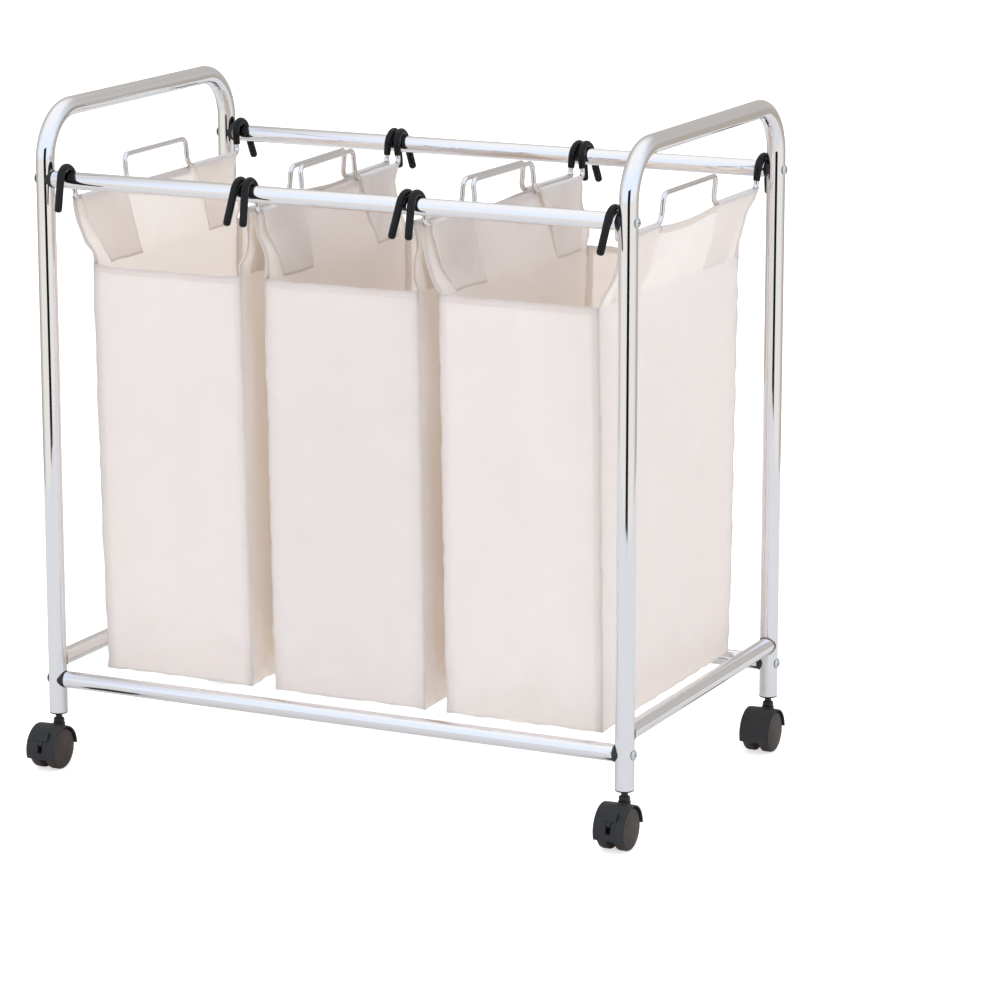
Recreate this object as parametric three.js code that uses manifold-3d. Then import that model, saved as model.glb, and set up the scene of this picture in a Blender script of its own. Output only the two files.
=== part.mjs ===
// Laundry sorter on wheels: a chrome tube frame on four twin-wheel castors, with three cloth
// bags that each hang from the top rails on two bent wires.
// Millimetres, +Z up, +X to the right, -Y is the front. The origin is on the floor, in the
// middle of the bounding box.
import * as THREE from 'three';
import { mergeVertices } from 'three/addons/utils/BufferGeometryUtils.js';
import Module from 'manifold-3d';

const wasm = await Module();
wasm.setup();

// ---- driving dimensions ----
const WIDTH = 765;              // over the posts, left to right
const DEPTH = 455;              // over the posts, front to back
const HEIGHT = 800;             // floor to the top of the push bars
const CLEARANCE = 0.3;          // between pieces that touch
const TUBE_SIDES = 12;          // facets round a tube

const POST_RADIUS = 11;
const RAIL_RADIUS = 10;
const TUBE_WALL = 1;
const BEND_RADIUS = 60;         // centre line of the push bar bends
const TOP_RAIL_DROP = 89.5;     // from the top of the push bars to the top rails' axes
const BOTTOM_RAIL_RISE = 40.9;  // from the posts' feet up to the bottom rails' axes
const SIDE_RAIL_RISE = 23;      // from the bottom rails' axes up to the side rails' axes

const PLUG_SKIN = 1.2;          // plug seen between a rail's end and the nearest point of its post
const SPIGOT_LENGTH = 26;
const SCREW_RADIUS = 2.4;
const SCREW_HEAD_RADIUS = 6.4;
const SCREW_HEAD_HEIGHT = 2.6;
const SCREW_GRIP = 18;          // screw length inside the plug, from the post's near side

const WHEEL_RADIUS = 25;
const WHEEL_WIDTH = 14;
const WHEEL_FACETS = 20;
const WEB_WIDTH = 8.4;          // hood wall between the two wheels
const HOOD_WIDTH = 38;
const HOOD_WALL = 2.2;
const HOOD_GAP = 0.9;           // between tread and hood
const HOOD_FRONT_ANGLE = -20;   // degrees about the axle: 0 is the front, 90 is straight up
const HOOD_BACK_ANGLE = 178;
const CASTOR_TRAIL = 18;        // from the stem back to the axle
const AXLE_RADIUS = 2;
const AXLE_BOSS_RADIUS = 5;
const STEM_RADIUS = 3;
const STEM_COLLAR_RADIUS = 6.5;
const STEM_GAP = 9.5;           // from the hood's top to the socket flange
const STEM_TOP = 24;            // stem length inside the socket
const SOCKET_FLANGE = 2.5;
const SOCKET_INSERT = 30;
const BRAKE_WIDTH = 5;
const BRAKE_ANGLE = 39;         // where the brake tab stands when it is off
const BRAKE_TRAVEL = 14;        // degrees down to locked
const BRAKE_LEG = 23;           // degrees from the tab's middle to the lower end of its leg
const HALF_ARM = 6;             // degrees, half the arm where it meets the tab
const BRAKE_PLAY = 0.6;         // beside the arm in its slot
const BRAKE_TAB_WIDTH = 18;
const BRAKE_TAB_REACH = 4.6;    // tab standing proud of the hood

const WIRE_RADIUS = 3;
const COAT_RADIUS = 4.5;        // black coat on the hooks
const COAT_LEG = 12;            // coat below the rail's axis on the inner leg
const HOOK_SPLAY = 20;          // degrees, outer leg from vertical
const HOOK_LEG = 38;            // straight part of the outer leg
const RUN_DROP = 23.5;          // from the rail's axis down to the wire's straight runs
const HANDLE_RISE = 35;         // from the runs up to the handle bar
const HANDLE_LENGTH = 151;
const HANDLE_SHIFT = -4;        // the handle's middle stands this far towards the front
const WIRE_LEAN = 5.5;          // degrees, wire plane from vertical
const HOOK_BEND = 8;            // centre line radii of the wire's bends
const HANDLE_FOOT_BEND = 13;
const HANDLE_TOP_BEND = 8;

const BAG_SLACK = 127;          // width between the posts that the three bags leave free
const CLOTH = 2;
const PANEL_DROP = 81;          // from the wires' runs down to the front and back panels' tops
const PANEL_INSET = 15.5;       // from a hook's inner leg to the top of the front or back panel
const BAG_TAPER = 15;           // front and back panels come in by this much at the bottom
const BAG_FLOOR_LIFT = 5;       // bag bottom above the bottom rails' axes
const SLEEVE_RADIUS = 5.2;
const SLEEVE_INSET = 3;         // sleeve ends before the wire's bends

// How the six wires hang along the top rails: the clear gaps between a post and the nearest
// coat and between the coats of a pair, and how far a pair's middle stands outside the middle
// bag. The wires hang a little askew, so the two rails differ.
const HUNG = {
  front: { leftGap: 12.5, leftPair: 7.3, pairGap: 3, rightPair: 7.3, rightGap: 1.5 },
  back: { leftGap: 4, leftPair: 32, pairGap: 0.6, rightPair: 20.5, rightGap: 0.5 },
};
// A bag's front panel stands this far to the right of the middle of its wires.
const SWAY = { bag_1: 0, bag_2: 0, bag_3: -10 };

// ---- worked out from the driving dimensions ----
const postX = WIDTH / 2 - POST_RADIUS;
const postY = DEPTH / 2 - POST_RADIUS;
const topRailZ = HEIGHT - TOP_RAIL_DROP;
const hoodRadius = WHEEL_RADIUS + HOOD_GAP + HOOD_WALL;
const stemBossTop = WHEEL_RADIUS + 0.4
  + Math.sqrt(hoodRadius ** 2 - (CASTOR_TRAIL - STEM_COLLAR_RADIUS) ** 2);
const flangeBottomZ = WHEEL_RADIUS + hoodRadius + STEM_GAP;
const postFootZ = flangeBottomZ + SOCKET_FLANGE;
const bottomRailZ = postFootZ + BOTTOM_RAIL_RISE;
const sideRailZ = bottomRailZ + SIDE_RAIL_RISE;
const railEndX = postX - POST_RADIUS - PLUG_SKIN;
const hookRadius = RAIL_RADIUS + COAT_RADIUS + CLEARANCE;
const innerLegY = postY - hookRadius;
const runZ = topRailZ - RUN_DROP;
const bagWidth = (2 * (postX - POST_RADIUS) - BAG_SLACK) / 3;
const leanSlope = Math.tan(THREE.MathUtils.degToRad(WIRE_LEAN));

function hooksOn({ leftGap, leftPair, pairGap, rightPair, rightGap }) {
  const inside = postX - POST_RADIUS - COAT_RADIUS;
  const reach = COAT_RADIUS + pairGap / 2;
  const [left, right] = [-bagWidth / 2 - leftPair, bagWidth / 2 + rightPair];
  return {
    bag_1: { left: leftGap - inside, right: left - reach },
    bag_2: { left: left + reach, right: right - reach },
    bag_3: { left: right + reach, right: inside - rightGap },
  };
}

// An x on the front rail and one on the back rail, as x at any y between them.
const across = (front, back) => (y) => (front + back) / 2 + ((back - front) * y) / (2 * postY);

const frontHooks = hooksOn(HUNG.front);
const backHooks = hooksOn(HUNG.back);
const hookLines = (bag) => ({
  left: across(frontHooks[bag].left, backHooks[bag].left),
  right: across(frontHooks[bag].right, backHooks[bag].right),
});
const BAGS = ['bag_1', 'bag_2', 'bag_3'];

// ---- finishes ----
const finish = (color, roughness, metalness) =>
  new THREE.MeshStandardMaterial({ color, roughness, metalness });
const chrome = finish(0xd9dade, 0.08, 1);
const zinc = finish(0xc4c8c8, 0.3, 1);
const blackPlastic = finish(0x1c1c1c, 0.45, 0);
const castorPlastic = finish(0x2f3234, 0.5, 0);
const wheelPlastic = finish(0x3a322d, 0.5, 0);
const blackVinyl = finish(0x161616, 0.25, 0);
const cloth = finish(0xece7e0, 0.9, 0);

// ---- solids ----
const degrees = THREE.MathUtils.degToRad;

function toSolid(geometry) {
  const bare = geometry.clone();
  bare.deleteAttribute('normal');
  bare.deleteAttribute('uv');
  const merged = mergeVertices(bare, 1e-4);
  return new wasm.Manifold(new wasm.Mesh({
    numProp: 3,
    vertProperties: new Float32Array(merged.attributes.position.array),
    triVerts: new Uint32Array(merged.index.array),
  }));
}

function toGeometry(solid) {
  const { vertProperties, triVerts } = solid.getMesh();
  const geometry = new THREE.BufferGeometry();
  geometry.setAttribute('position', new THREE.BufferAttribute(new Float32Array(vertProperties), 3));
  geometry.setIndex(new THREE.BufferAttribute(new Uint32Array(triVerts), 1));
  return geometry;
}

const join = (...geometries) =>
  toGeometry(geometries.map(toSolid).reduce((whole, piece) => whole.add(piece)));
const cut = (geometry, ...tools) =>
  toGeometry(tools.map(toSolid).reduce((whole, tool) => whole.subtract(tool), toSolid(geometry)));

// A round bar along x, y or z, between two places on that axis.
function bar(axis, radius, from, to, sides = TUBE_SIDES) {
  const geometry = new THREE.CylinderGeometry(radius, radius, to - from, sides);
  geometry.translate(0, (from + to) / 2, 0);
  if (axis === 'x') geometry.rotateZ(-Math.PI / 2);
  if (axis === 'z') geometry.rotateX(Math.PI / 2);
  return geometry;
}

// A turned piece about the Z axis from [radius, z] points.
const turned = (profile, sides) =>
  new THREE.LatheGeometry(profile.map(([r, z]) => new THREE.Vector2(r, z)), sides)
    .rotateX(Math.PI / 2);

// A block with four [x, y] corners at its bottom and four at its top, each anticlockwise. Its
// left and right faces are split along the same diagonal, so a twisted panel keeps its thickness.
function block(z0, bottom, z1, top) {
  const corners = [...bottom.flatMap((c) => [...c, z0]), ...top.flatMap((c) => [...c, z1])];
  const faces = [
    0, 2, 1, 0, 3, 2, 4, 5, 6, 4, 6, 7, 0, 1, 5, 0, 5, 4,
    1, 2, 5, 2, 6, 5, 2, 3, 7, 2, 7, 6, 3, 0, 4, 3, 4, 7,
  ];
  const geometry = new THREE.BufferGeometry();
  geometry.setAttribute('position', new THREE.Float32BufferAttribute(corners, 3));
  geometry.setIndex(faces);
  return geometry;
}

// Outline points on a circle about (y, z), between two angles in degrees.
function arcPoints(y, z, radius, from, to, steps) {
  return Array.from({ length: steps + 1 }, (_, i) => {
    const angle = degrees(from + ((to - from) * i) / steps);
    return [y + radius * Math.cos(angle), z + radius * Math.sin(angle)];
  });
}

// A plate of a [y, z] outline, of the given width and centred on x = 0.
function plate(outline, width) {
  const shape = new THREE.Shape(outline.map(([y, z]) => new THREE.Vector2(y, z)));
  return new THREE.ExtrudeGeometry(shape, { depth: width, bevelEnabled: false, steps: 1 })
    .translate(0, 0, -width / 2)
    .rotateY(Math.PI / 2)
    .rotateX(Math.PI / 2);
}

// A path through exact stations, each with its place and its direction.
class Stations extends THREE.Curve {
  constructor(stations) {
    super();
    this.stations = stations;
  }

  at(u) {
    return this.stations[Math.round(u * (this.stations.length - 1))];
  }

  getPointAt(u) {
    return this.at(u).place.clone();
  }

  getTangentAt(u, target = new THREE.Vector3()) {
    return target.copy(this.at(u).heading);
  }
}

// Stations in a plane where x is a function of y and z.
function station(y, z, dy, dz, xOf) {
  const place = new THREE.Vector3(xOf(y, z), y, z);
  const heading = new THREE.Vector3(xOf(y + dy, z + dz) - xOf(y, z), dy, dz).normalize();
  return { place, heading };
}

function arcStations(y, z, radius, from, to, steps, xOf) {
  const turn = Math.sign(to - from);
  return Array.from({ length: steps + 1 }, (_, i) => {
    const a = degrees(from + ((to - from) * i) / steps);
    const [dy, dz] = [-turn * Math.sin(a), turn * Math.cos(a)];
    return station(y + radius * Math.cos(a), z + radius * Math.sin(a), dy, dz, xOf);
  });
}

function sweep(stations, radius, bore = 0, sides = TUBE_SIDES) {
  const ring = (r) => Array.from({ length: sides }, (_, i) => {
    const angle = (2 * Math.PI * i) / sides;
    return new THREE.Vector2(r * Math.cos(angle), r * Math.sin(angle));
  });
  const section = new THREE.Shape(ring(radius));
  if (bore > 0) section.holes.push(new THREE.Path(ring(bore)));
  return new THREE.ExtrudeGeometry(section, {
    steps: stations.length - 1,
    extrudePath: new Stations(stations),
  });
}

function named(name, geometry, material) {
  const mesh = new THREE.Mesh(geometry, material);
  mesh.name = name;
  return mesh;
}

const sorter = new THREE.Group();
const SIDES = [['left', -1], ['right', 1]];
const ENDS = [['front', -1], ['back', 1]];

// ---- frame ----
function sideFrame(x) {
  const upright = () => x;
  const bendY = postY - BEND_RADIUS;
  const bendZ = HEIGHT - POST_RADIUS - BEND_RADIUS;
  const stations = [
    station(-postY, postFootZ, 0, 1, upright),
    ...arcStations(-bendY, bendZ, BEND_RADIUS, 180, 90, 6, upright),
    ...arcStations(bendY, bendZ, BEND_RADIUS, 90, 0, 6, upright),
    station(postY, postFootZ, 0, -1, upright),
  ];
  const holes = ENDS.flatMap(([, end]) => [topRailZ, bottomRailZ].map((z) =>
    bar('x', SCREW_RADIUS + CLEARANCE, x - 2 * POST_RADIUS, x + 2 * POST_RADIUS, 10)
      .translate(0, end * postY, z)));
  return cut(sweep(stations, POST_RADIUS, POST_RADIUS - TUBE_WALL), ...holes);
}

function sideRail(x) {
  const tube = sweep([
    station(-postY, sideRailZ, 1, 0, () => x),
    station(postY, sideRailZ, 1, 0, () => x),
  ], RAIL_RADIUS, RAIL_RADIUS - TUBE_WALL);
  const copes = ENDS.map(([, end]) =>
    bar('z', POST_RADIUS + CLEARANCE, 0, HEIGHT, 24).translate(x, end * postY, 0));
  return cut(tube, ...copes);
}

function longRail(y, z) {
  const along = (x) => ({ place: new THREE.Vector3(x, y, z), heading: new THREE.Vector3(1, 0, 0) });
  return sweep([along(-railEndX), along(railEndX)], RAIL_RADIUS, RAIL_RADIUS - TUBE_WALL);
}

// The plug stands at a rail's right end; its saddle follows the post at x = 0.
function railPlug() {
  const skinX = -POST_RADIUS - PLUG_SKIN + CLEARANCE;
  const plug = join(
    bar('x', RAIL_RADIUS, skinX, 0),
    bar('x', RAIL_RADIUS - TUBE_WALL - CLEARANCE, skinX - SPIGOT_LENGTH, skinX + 1),
  );
  const post = bar('z', POST_RADIUS + CLEARANCE, -2 * RAIL_RADIUS, 2 * RAIL_RADIUS, 24);
  const pilot = bar('x', SCREW_RADIUS + CLEARANCE, skinX - SPIGOT_LENGTH - 1, 0, 10);
  return cut(plug, post, pilot);
}

// The screw passes through the post from its outer side, at x = +POST_RADIUS.
function railScrew() {
  const seat = POST_RADIUS + CLEARANCE;
  const tip = -POST_RADIUS - SCREW_GRIP;
  const headTop = seat + SCREW_HEAD_HEIGHT;
  return turned([
    [0, tip], [SCREW_RADIUS, tip + 2], [SCREW_RADIUS, seat], [SCREW_HEAD_RADIUS, seat],
    [SCREW_HEAD_RADIUS * 0.93, seat + SCREW_HEAD_HEIGHT * 0.5],
    [SCREW_HEAD_RADIUS * 0.6, headTop - SCREW_HEAD_HEIGHT * 0.12], [0, headTop],
  ], 8).rotateY(Math.PI / 2);
}

for (const [side, s] of SIDES) {
  sorter.add(named(`side_frame_${side}`, sideFrame(s * postX), chrome));
  sorter.add(named(`side_rail_${side}`, sideRail(s * postX), chrome));
}
for (const [end, e] of ENDS) {
  for (const [level, z] of [['top', topRailZ], ['bottom', bottomRailZ]]) {
    sorter.add(named(`${level}_rail_${end}`, longRail(e * postY, z), chrome));
    for (const [side, s] of SIDES) {
      const corner = new THREE.Group();
      corner.position.set(s * postX, e * postY, z);
      corner.rotation.z = s > 0 ? 0 : Math.PI;
      corner.add(named(`${level}_rail_${end}_plug_${side}`, railPlug(), blackPlastic));
      corner.add(named(`${level}_rail_${end}_screw_${side}`, railScrew(), zinc));
      sorter.add(corner);
    }
  }
}

// ---- castors ----
// Each is drawn about its stem's axis, with the axle CASTOR_TRAIL in front of it. Angles in
// an outline run from the front (0) over the top (90) to the back (180).
const axleY = -CASTOR_TRAIL;
const castorArc = (radius, from, to, steps) =>
  arcPoints(axleY, WHEEL_RADIUS, radius, 180 - from, 180 - to, steps);

function castorSocket() {
  const bore = STEM_RADIUS + CLEARANCE;
  const insert = POST_RADIUS - TUBE_WALL - CLEARANCE;
  return turned([
    [0, postFootZ + STEM_TOP + 1], [bore, postFootZ + STEM_TOP + 1], [bore, flangeBottomZ],
    [POST_RADIUS - 3, flangeBottomZ], [POST_RADIUS, postFootZ - CLEARANCE - 0.5],
    [POST_RADIUS, postFootZ - CLEARANCE],
    [insert, postFootZ - CLEARANCE], [insert, postFootZ + SOCKET_INSERT],
    [0, postFootZ + SOCKET_INSERT],
  ], TUBE_SIDES);
}

function castorStem() {
  return turned([
    [0, WHEEL_RADIUS + 8], [STEM_RADIUS, WHEEL_RADIUS + 8], [STEM_RADIUS, stemBossTop + CLEARANCE],
    [STEM_COLLAR_RADIUS, stemBossTop + CLEARANCE], [STEM_COLLAR_RADIUS, flangeBottomZ - 4],
    [STEM_RADIUS, flangeBottomZ - 3], [STEM_RADIUS, postFootZ + STEM_TOP],
    [0, postFootZ + STEM_TOP],
  ], TUBE_SIDES);
}

function castorHood(hasBrake) {
  const inner = hoodRadius - HOOD_WALL;
  const shell = plate([
    ...castorArc(hoodRadius, HOOD_FRONT_ANGLE, HOOD_BACK_ANGLE, 14),
    ...castorArc(inner, HOOD_BACK_ANGLE, HOOD_FRONT_ANGLE, 14),
  ], HOOD_WIDTH);
  const web = plate([
    [axleY, WHEEL_RADIUS - AXLE_BOSS_RADIUS + 1],
    ...castorArc(inner + 1, 88, HOOD_BACK_ANGLE, 6),
    [axleY + AXLE_BOSS_RADIUS, WHEEL_RADIUS - AXLE_BOSS_RADIUS + 1],
  ], WEB_WIDTH);
  const boss = bar('x', AXLE_BOSS_RADIUS, -WEB_WIDTH / 2, WEB_WIDTH / 2)
    .translate(0, axleY, WHEEL_RADIUS);
  const wheelTopZ = WHEEL_RADIUS + Math.sqrt(inner ** 2 - (CASTOR_TRAIL - STEM_COLLAR_RADIUS) ** 2);
  const stemBoss = bar('z', STEM_COLLAR_RADIUS, wheelTopZ, stemBossTop);
  const tools = [
    bar('z', STEM_RADIUS + CLEARANCE, WHEEL_RADIUS + 7, postFootZ),
    bar('x', AXLE_RADIUS + CLEARANCE, -HOOD_WIDTH, HOOD_WIDTH).translate(0, axleY, WHEEL_RADIUS),
  ];
  if (hasBrake) {
    const spare = 4;
    const slotEnd = BRAKE_ANGLE - BRAKE_LEG - BRAKE_TRAVEL - spare;
    const slotTop = BRAKE_ANGLE + HALF_ARM + spare;
    tools.push(plate([
      ...castorArc(hoodRadius + 2, slotEnd, slotTop, 8),
      ...castorArc(inner - 2, slotTop, slotEnd, 8),
    ], BRAKE_WIDTH + 2 * BRAKE_PLAY));
  }
  return cut(join(shell, web, boss, stemBoss), ...tools);
}

function castorWheel() {
  const rim = WHEEL_RADIUS / Math.cos(Math.PI / WHEEL_FACETS);
  const bore = AXLE_RADIUS + CLEARANCE;
  const points = [
    [0, WHEEL_WIDTH], [rim - 6, WHEEL_WIDTH - 0.4], [rim - 1.5, WHEEL_WIDTH - 2],
    [rim, WHEEL_WIDTH - 3.5], [rim, 1.5], [rim - 1.5, 0], [bore, 0],
    [bore, WHEEL_WIDTH - 3], [0, WHEEL_WIDTH - 3],
  ].reverse().map(([r, x]) => new THREE.Vector2(r, x));
  return new THREE.LatheGeometry(points, WHEEL_FACETS, Math.PI / WHEEL_FACETS)
    .rotateZ(-Math.PI / 2)
    .translate(WEB_WIDTH / 2 + CLEARANCE, 0, 0);
}

// A tab outside the hood, an arm through its slot and a claw round the axle boss.
function castorBrake() {
  const claw = plate([
    ...castorArc(AXLE_BOSS_RADIUS + 3.4, BRAKE_ANGLE - 60, BRAKE_ANGLE + 28, 8),
    ...castorArc(AXLE_BOSS_RADIUS + CLEARANCE + 0.1, BRAKE_ANGLE + 28, BRAKE_ANGLE - 60, 8),
  ], BRAKE_WIDTH);
  const arm = plate([
    ...castorArc(AXLE_BOSS_RADIUS + 2, BRAKE_ANGLE + 22, BRAKE_ANGLE - 22, 3),
    ...castorArc(hoodRadius - 0.3, BRAKE_ANGLE - BRAKE_LEG, BRAKE_ANGLE - HALF_ARM, 4),
    ...castorArc(hoodRadius + 1.5, BRAKE_ANGLE - HALF_ARM, BRAKE_ANGLE + HALF_ARM, 3),
  ], BRAKE_WIDTH);
  const halfTab = 9;
  const tab = plate([
    ...castorArc(hoodRadius + BRAKE_TAB_REACH, BRAKE_ANGLE - halfTab, BRAKE_ANGLE + halfTab, 4),
    ...castorArc(hoodRadius + 0.5, BRAKE_ANGLE + halfTab, BRAKE_ANGLE - halfTab, 4),
  ], BRAKE_TAB_WIDTH);
  return join(claw, arm, tab);
}

for (const [end, e] of ENDS) {
  for (const [side, s] of SIDES) {
    const castor = new THREE.Group();
    const name = `castor_${end}_${side}`;
    castor.position.set(s * postX, e * postY, 0);
    castor.add(named(`${name}_socket`, castorSocket(), blackPlastic));
    castor.add(named(`${name}_stem`, castorStem(), blackPlastic));
    castor.add(named(`${name}_hood`, castorHood(e < 0), castorPlastic));
    const axleHalf = WEB_WIDTH / 2 + WHEEL_WIDTH - 3.5;
    castor.add(named(`${name}_axle`,
      bar('x', AXLE_RADIUS, -axleHalf, axleHalf, 12).translate(0, axleY, WHEEL_RADIUS), zinc));
    for (const [wheelSide, w] of SIDES) {
      const wheel = named(`${name}_wheel_${wheelSide}`, castorWheel(), wheelPlastic);
      wheel.position.set(0, axleY, WHEEL_RADIUS);
      wheel.rotation.z = w > 0 ? 0 : Math.PI;
      castor.add(wheel);
    }
    if (e < 0) castor.add(named(`${name}_brake`, castorBrake(), castorPlastic));
    sorter.add(castor);
  }
}

// ---- bags ----
// A wire leans away from its bag at the top: lean is -1 on a bag's left and 1 on its right.
function wirePath(hookLine, lean, bendSteps) {
  const xOf = (y, z) => hookLine(y) + lean * leanSlope * (z - topRailZ - hookRadius);
  const splay = HOOK_SPLAY;
  const at = (y, z, dy, dz) => station(y, z, dy, dz, xOf);
  const bend = (y, z, radius, from, to) => arcStations(y, z, radius, from, to, bendSteps, xOf);
  const barZ = runZ + HANDLE_RISE;
  const front = HANDLE_SHIFT - HANDLE_LENGTH / 2;
  const back = HANDLE_SHIFT + HANDLE_LENGTH / 2;
  const [foot, top, hook] = [HANDLE_FOOT_BEND, HANDLE_TOP_BEND, HOOK_BEND];

  const frontHook = arcStations(-postY, topRailZ, hookRadius, 180 - splay, 0, 8, xOf);
  const backHook = arcStations(postY, topRailZ, hookRadius, 180, splay, 8, xOf);
  const legOf = (last, sign) => {
    const run = HOOK_LEG * Math.sin(degrees(splay));
    const drop = HOOK_LEG * Math.cos(degrees(splay));
    return [last.place.y + sign * run, last.place.z - drop];
  };
  const [frontTipY, tipZ] = legOf(frontHook[0], -1);
  const [backTipY] = legOf(backHook.at(-1), 1);
  const frontTip = at(frontTipY, tipZ, Math.sin(degrees(splay)), Math.cos(degrees(splay)));
  const backTip = at(backTipY, tipZ, Math.sin(degrees(splay)), -Math.cos(degrees(splay)));
  const coatZ = topRailZ - COAT_LEG;
  return {
    frontCoat: [frontTip, ...frontHook, at(-innerLegY, coatZ, 0, -1)],
    wire: [
      at(-innerLegY, coatZ + 2, 0, -1),
      ...bend(-innerLegY + hook, runZ + hook, hook, 180, 270),
      ...bend(front - foot, runZ + foot, foot, 270, 360),
      ...bend(front + top, barZ - top, top, 180, 90),
      ...bend(back - top, barZ - top, top, 90, 0),
      ...bend(back + foot, runZ + foot, foot, 180, 270),
      ...bend(innerLegY - hook, runZ + hook, hook, 270, 360),
      at(innerLegY, coatZ + 2, 0, 1),
    ],
    backCoat: [at(innerLegY, coatZ, 0, 1), ...backHook, backTip],
  };
}

function hangingWire(hookLine, lean) {
  const path = wirePath(hookLine, lean, 3);
  return join(
    sweep(path.wire, WIRE_RADIUS, 0, 6),
    sweep(path.frontCoat, COAT_RADIUS, 0, 6),
    sweep(path.backCoat, COAT_RADIUS, 0, 6),
  );
}

// The bag: a tapering body, side panels that spread up to the wires, and a sleeve on each of
// the wires' straight runs.
function bagCloth(hooks, sway) {
  const bottomZ = bottomRailZ + BAG_FLOOR_LIFT;
  const panelTopZ = runZ - PANEL_DROP;
  const topY = innerLegY - PANEL_INSET;
  const bottomY = topY - BAG_TAPER;
  const halfWidth = bagWidth / 2;
  const middleAt = (y) => (hooks.left(y) + hooks.right(y)) / 2;
  const middle = across(middleAt(-postY) + sway, middleAt(postY));
  const corners = (left, right, halfY) => [
    [left(-halfY), -halfY], [right(-halfY), -halfY], [right(halfY), halfY], [left(halfY), halfY],
  ];
  const section = (halfX, halfY) =>
    corners((y) => middle(y) - halfX, (y) => middle(y) + halfX, halfY);
  const outside = block(bottomZ, section(halfWidth, bottomY),
    panelTopZ, section(halfWidth, topY));
  const inside = block(bottomZ + CLOTH, section(halfWidth - CLOTH, bottomY - CLOTH),
    panelTopZ + CLOTH, section(halfWidth - CLOTH, topY - CLOTH));
  let bag = cut(outside, inside);
  for (const [side, s] of SIDES) {
    const runX = (y) => hooks[side](y) - s * leanSlope * (RUN_DROP + hookRadius);
    const flareY = innerLegY - HOOK_BEND - SLEEVE_INSET;
    const panelFace = (inset) => (y) => middle(y) + s * (halfWidth - inset);
    const [leftInset, rightInset] = s < 0 ? [0, CLOTH] : [CLOTH, 0];
    const panel = block(
      panelTopZ - 4, corners(panelFace(leftInset), panelFace(rightInset), topY),
      runZ, corners((y) => runX(y) - CLOTH / 2, (y) => runX(y) + CLOTH / 2, flareY),
    );
    const footReach = HANDLE_LENGTH / 2 + HANDLE_FOOT_BEND + SLEEVE_INSET;
    const sleeve = (from, to) => sweep(
      [from, to].map((y) => station(y, runZ, 1, 0, runX)), SLEEVE_RADIUS, 0, 10);
    bag = join(bag, panel, sleeve(-flareY, HANDLE_SHIFT - footReach),
      sleeve(HANDLE_SHIFT + footReach, flareY));
    const path = wirePath(hooks[side], s, 3);
    bag = cut(bag, sweep(path.wire, WIRE_RADIUS + 2 * CLEARANCE, 0, 6));
  }
  return bag;
}

for (const name of BAGS) {
  const hooks = hookLines(name);
  sorter.add(named(name, bagCloth(hooks, SWAY[name]), cloth));
  for (const [side, s] of SIDES) {
    sorter.add(named(`${name}_wire_${side}`, hangingWire(hooks[side], s), chrome));
  }
}

// ---- origin: the middle of the bounding box, on the floor ----
sorter.updateMatrixWorld(true);
const box = new THREE.Box3().setFromObject(sorter, true);
sorter.position.set(-(box.min.x + box.max.x) / 2, -(box.min.y + box.max.y) / 2, 0);

export default sorter;
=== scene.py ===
"""Laundry sorter on wheels: the fine surfaces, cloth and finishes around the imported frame.

Metres, +Z up, +X to the right, -Y is the front. Every place comes from the CAD nodes' boxes, or
from the named sizes below.
"""
import math

import bmesh
import bpy
import numpy as np
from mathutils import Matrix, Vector


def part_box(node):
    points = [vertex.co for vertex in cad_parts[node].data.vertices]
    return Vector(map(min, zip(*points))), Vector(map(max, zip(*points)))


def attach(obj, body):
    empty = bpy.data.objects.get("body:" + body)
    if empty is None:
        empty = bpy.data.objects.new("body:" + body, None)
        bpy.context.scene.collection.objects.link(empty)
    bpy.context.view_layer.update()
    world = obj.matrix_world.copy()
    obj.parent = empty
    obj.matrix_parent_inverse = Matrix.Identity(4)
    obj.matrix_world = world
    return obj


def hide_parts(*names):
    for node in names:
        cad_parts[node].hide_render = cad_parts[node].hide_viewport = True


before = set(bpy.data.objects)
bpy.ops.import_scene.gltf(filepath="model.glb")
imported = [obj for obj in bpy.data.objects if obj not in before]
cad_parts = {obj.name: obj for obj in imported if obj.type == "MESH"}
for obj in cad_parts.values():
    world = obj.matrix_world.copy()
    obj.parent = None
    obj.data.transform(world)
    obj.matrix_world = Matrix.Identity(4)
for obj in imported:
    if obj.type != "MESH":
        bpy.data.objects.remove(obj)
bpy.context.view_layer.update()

MM = 0.001
SIDES = (("left", -1), ("right", 1))
ENDS = (("front", -1), ("back", 1))


# ---------------------------------------------------------------- sizes from the frame

def box(node):
    """A node's low and high corners."""
    low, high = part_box(node)
    return np.array(low), np.array(high)


def middle(node):
    """The middle of a node's box."""
    low, high = box(node)
    return (low + high) / 2


right_frame = box("side_frame_right")
POST_R = (right_frame[1][0] - right_frame[0][0]) / 2
POST_X = middle("side_frame_right")[0]
FRAME_Y = middle("side_frame_right")[1]
POST_Y = (right_frame[1][1] - right_frame[0][1]) / 2 - POST_R
FOOT_Z = right_frame[0][2]
TOP_Z = right_frame[1][2]
RAIL_R = (box("top_rail_front")[1][2] - box("top_rail_front")[0][2]) / 2
RAIL_END = box("top_rail_front")[1][0]
TOP_RAIL_Z = middle("top_rail_front")[2]
BOTTOM_RAIL_Z = middle("bottom_rail_front")[2]
SIDE_RAIL_Z = middle("side_rail_left")[2]
WHEEL_R = (box("castor_front_left_wheel_left")[1][2] - box("castor_front_left_wheel_left")[0][2]) / 2
HOOD_LOW, HOOD_HIGH = box("castor_front_left_hood")
HOOD_WIDTH = HOOD_HIGH[0] - HOOD_LOW[0]
FLANGE_Z = box("castor_front_left_socket")[0][2]

TUBE_WALL = 1.0 * MM
BEND_R = 60 * MM


# ---------------------------------------------------------------- surfaces

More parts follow.
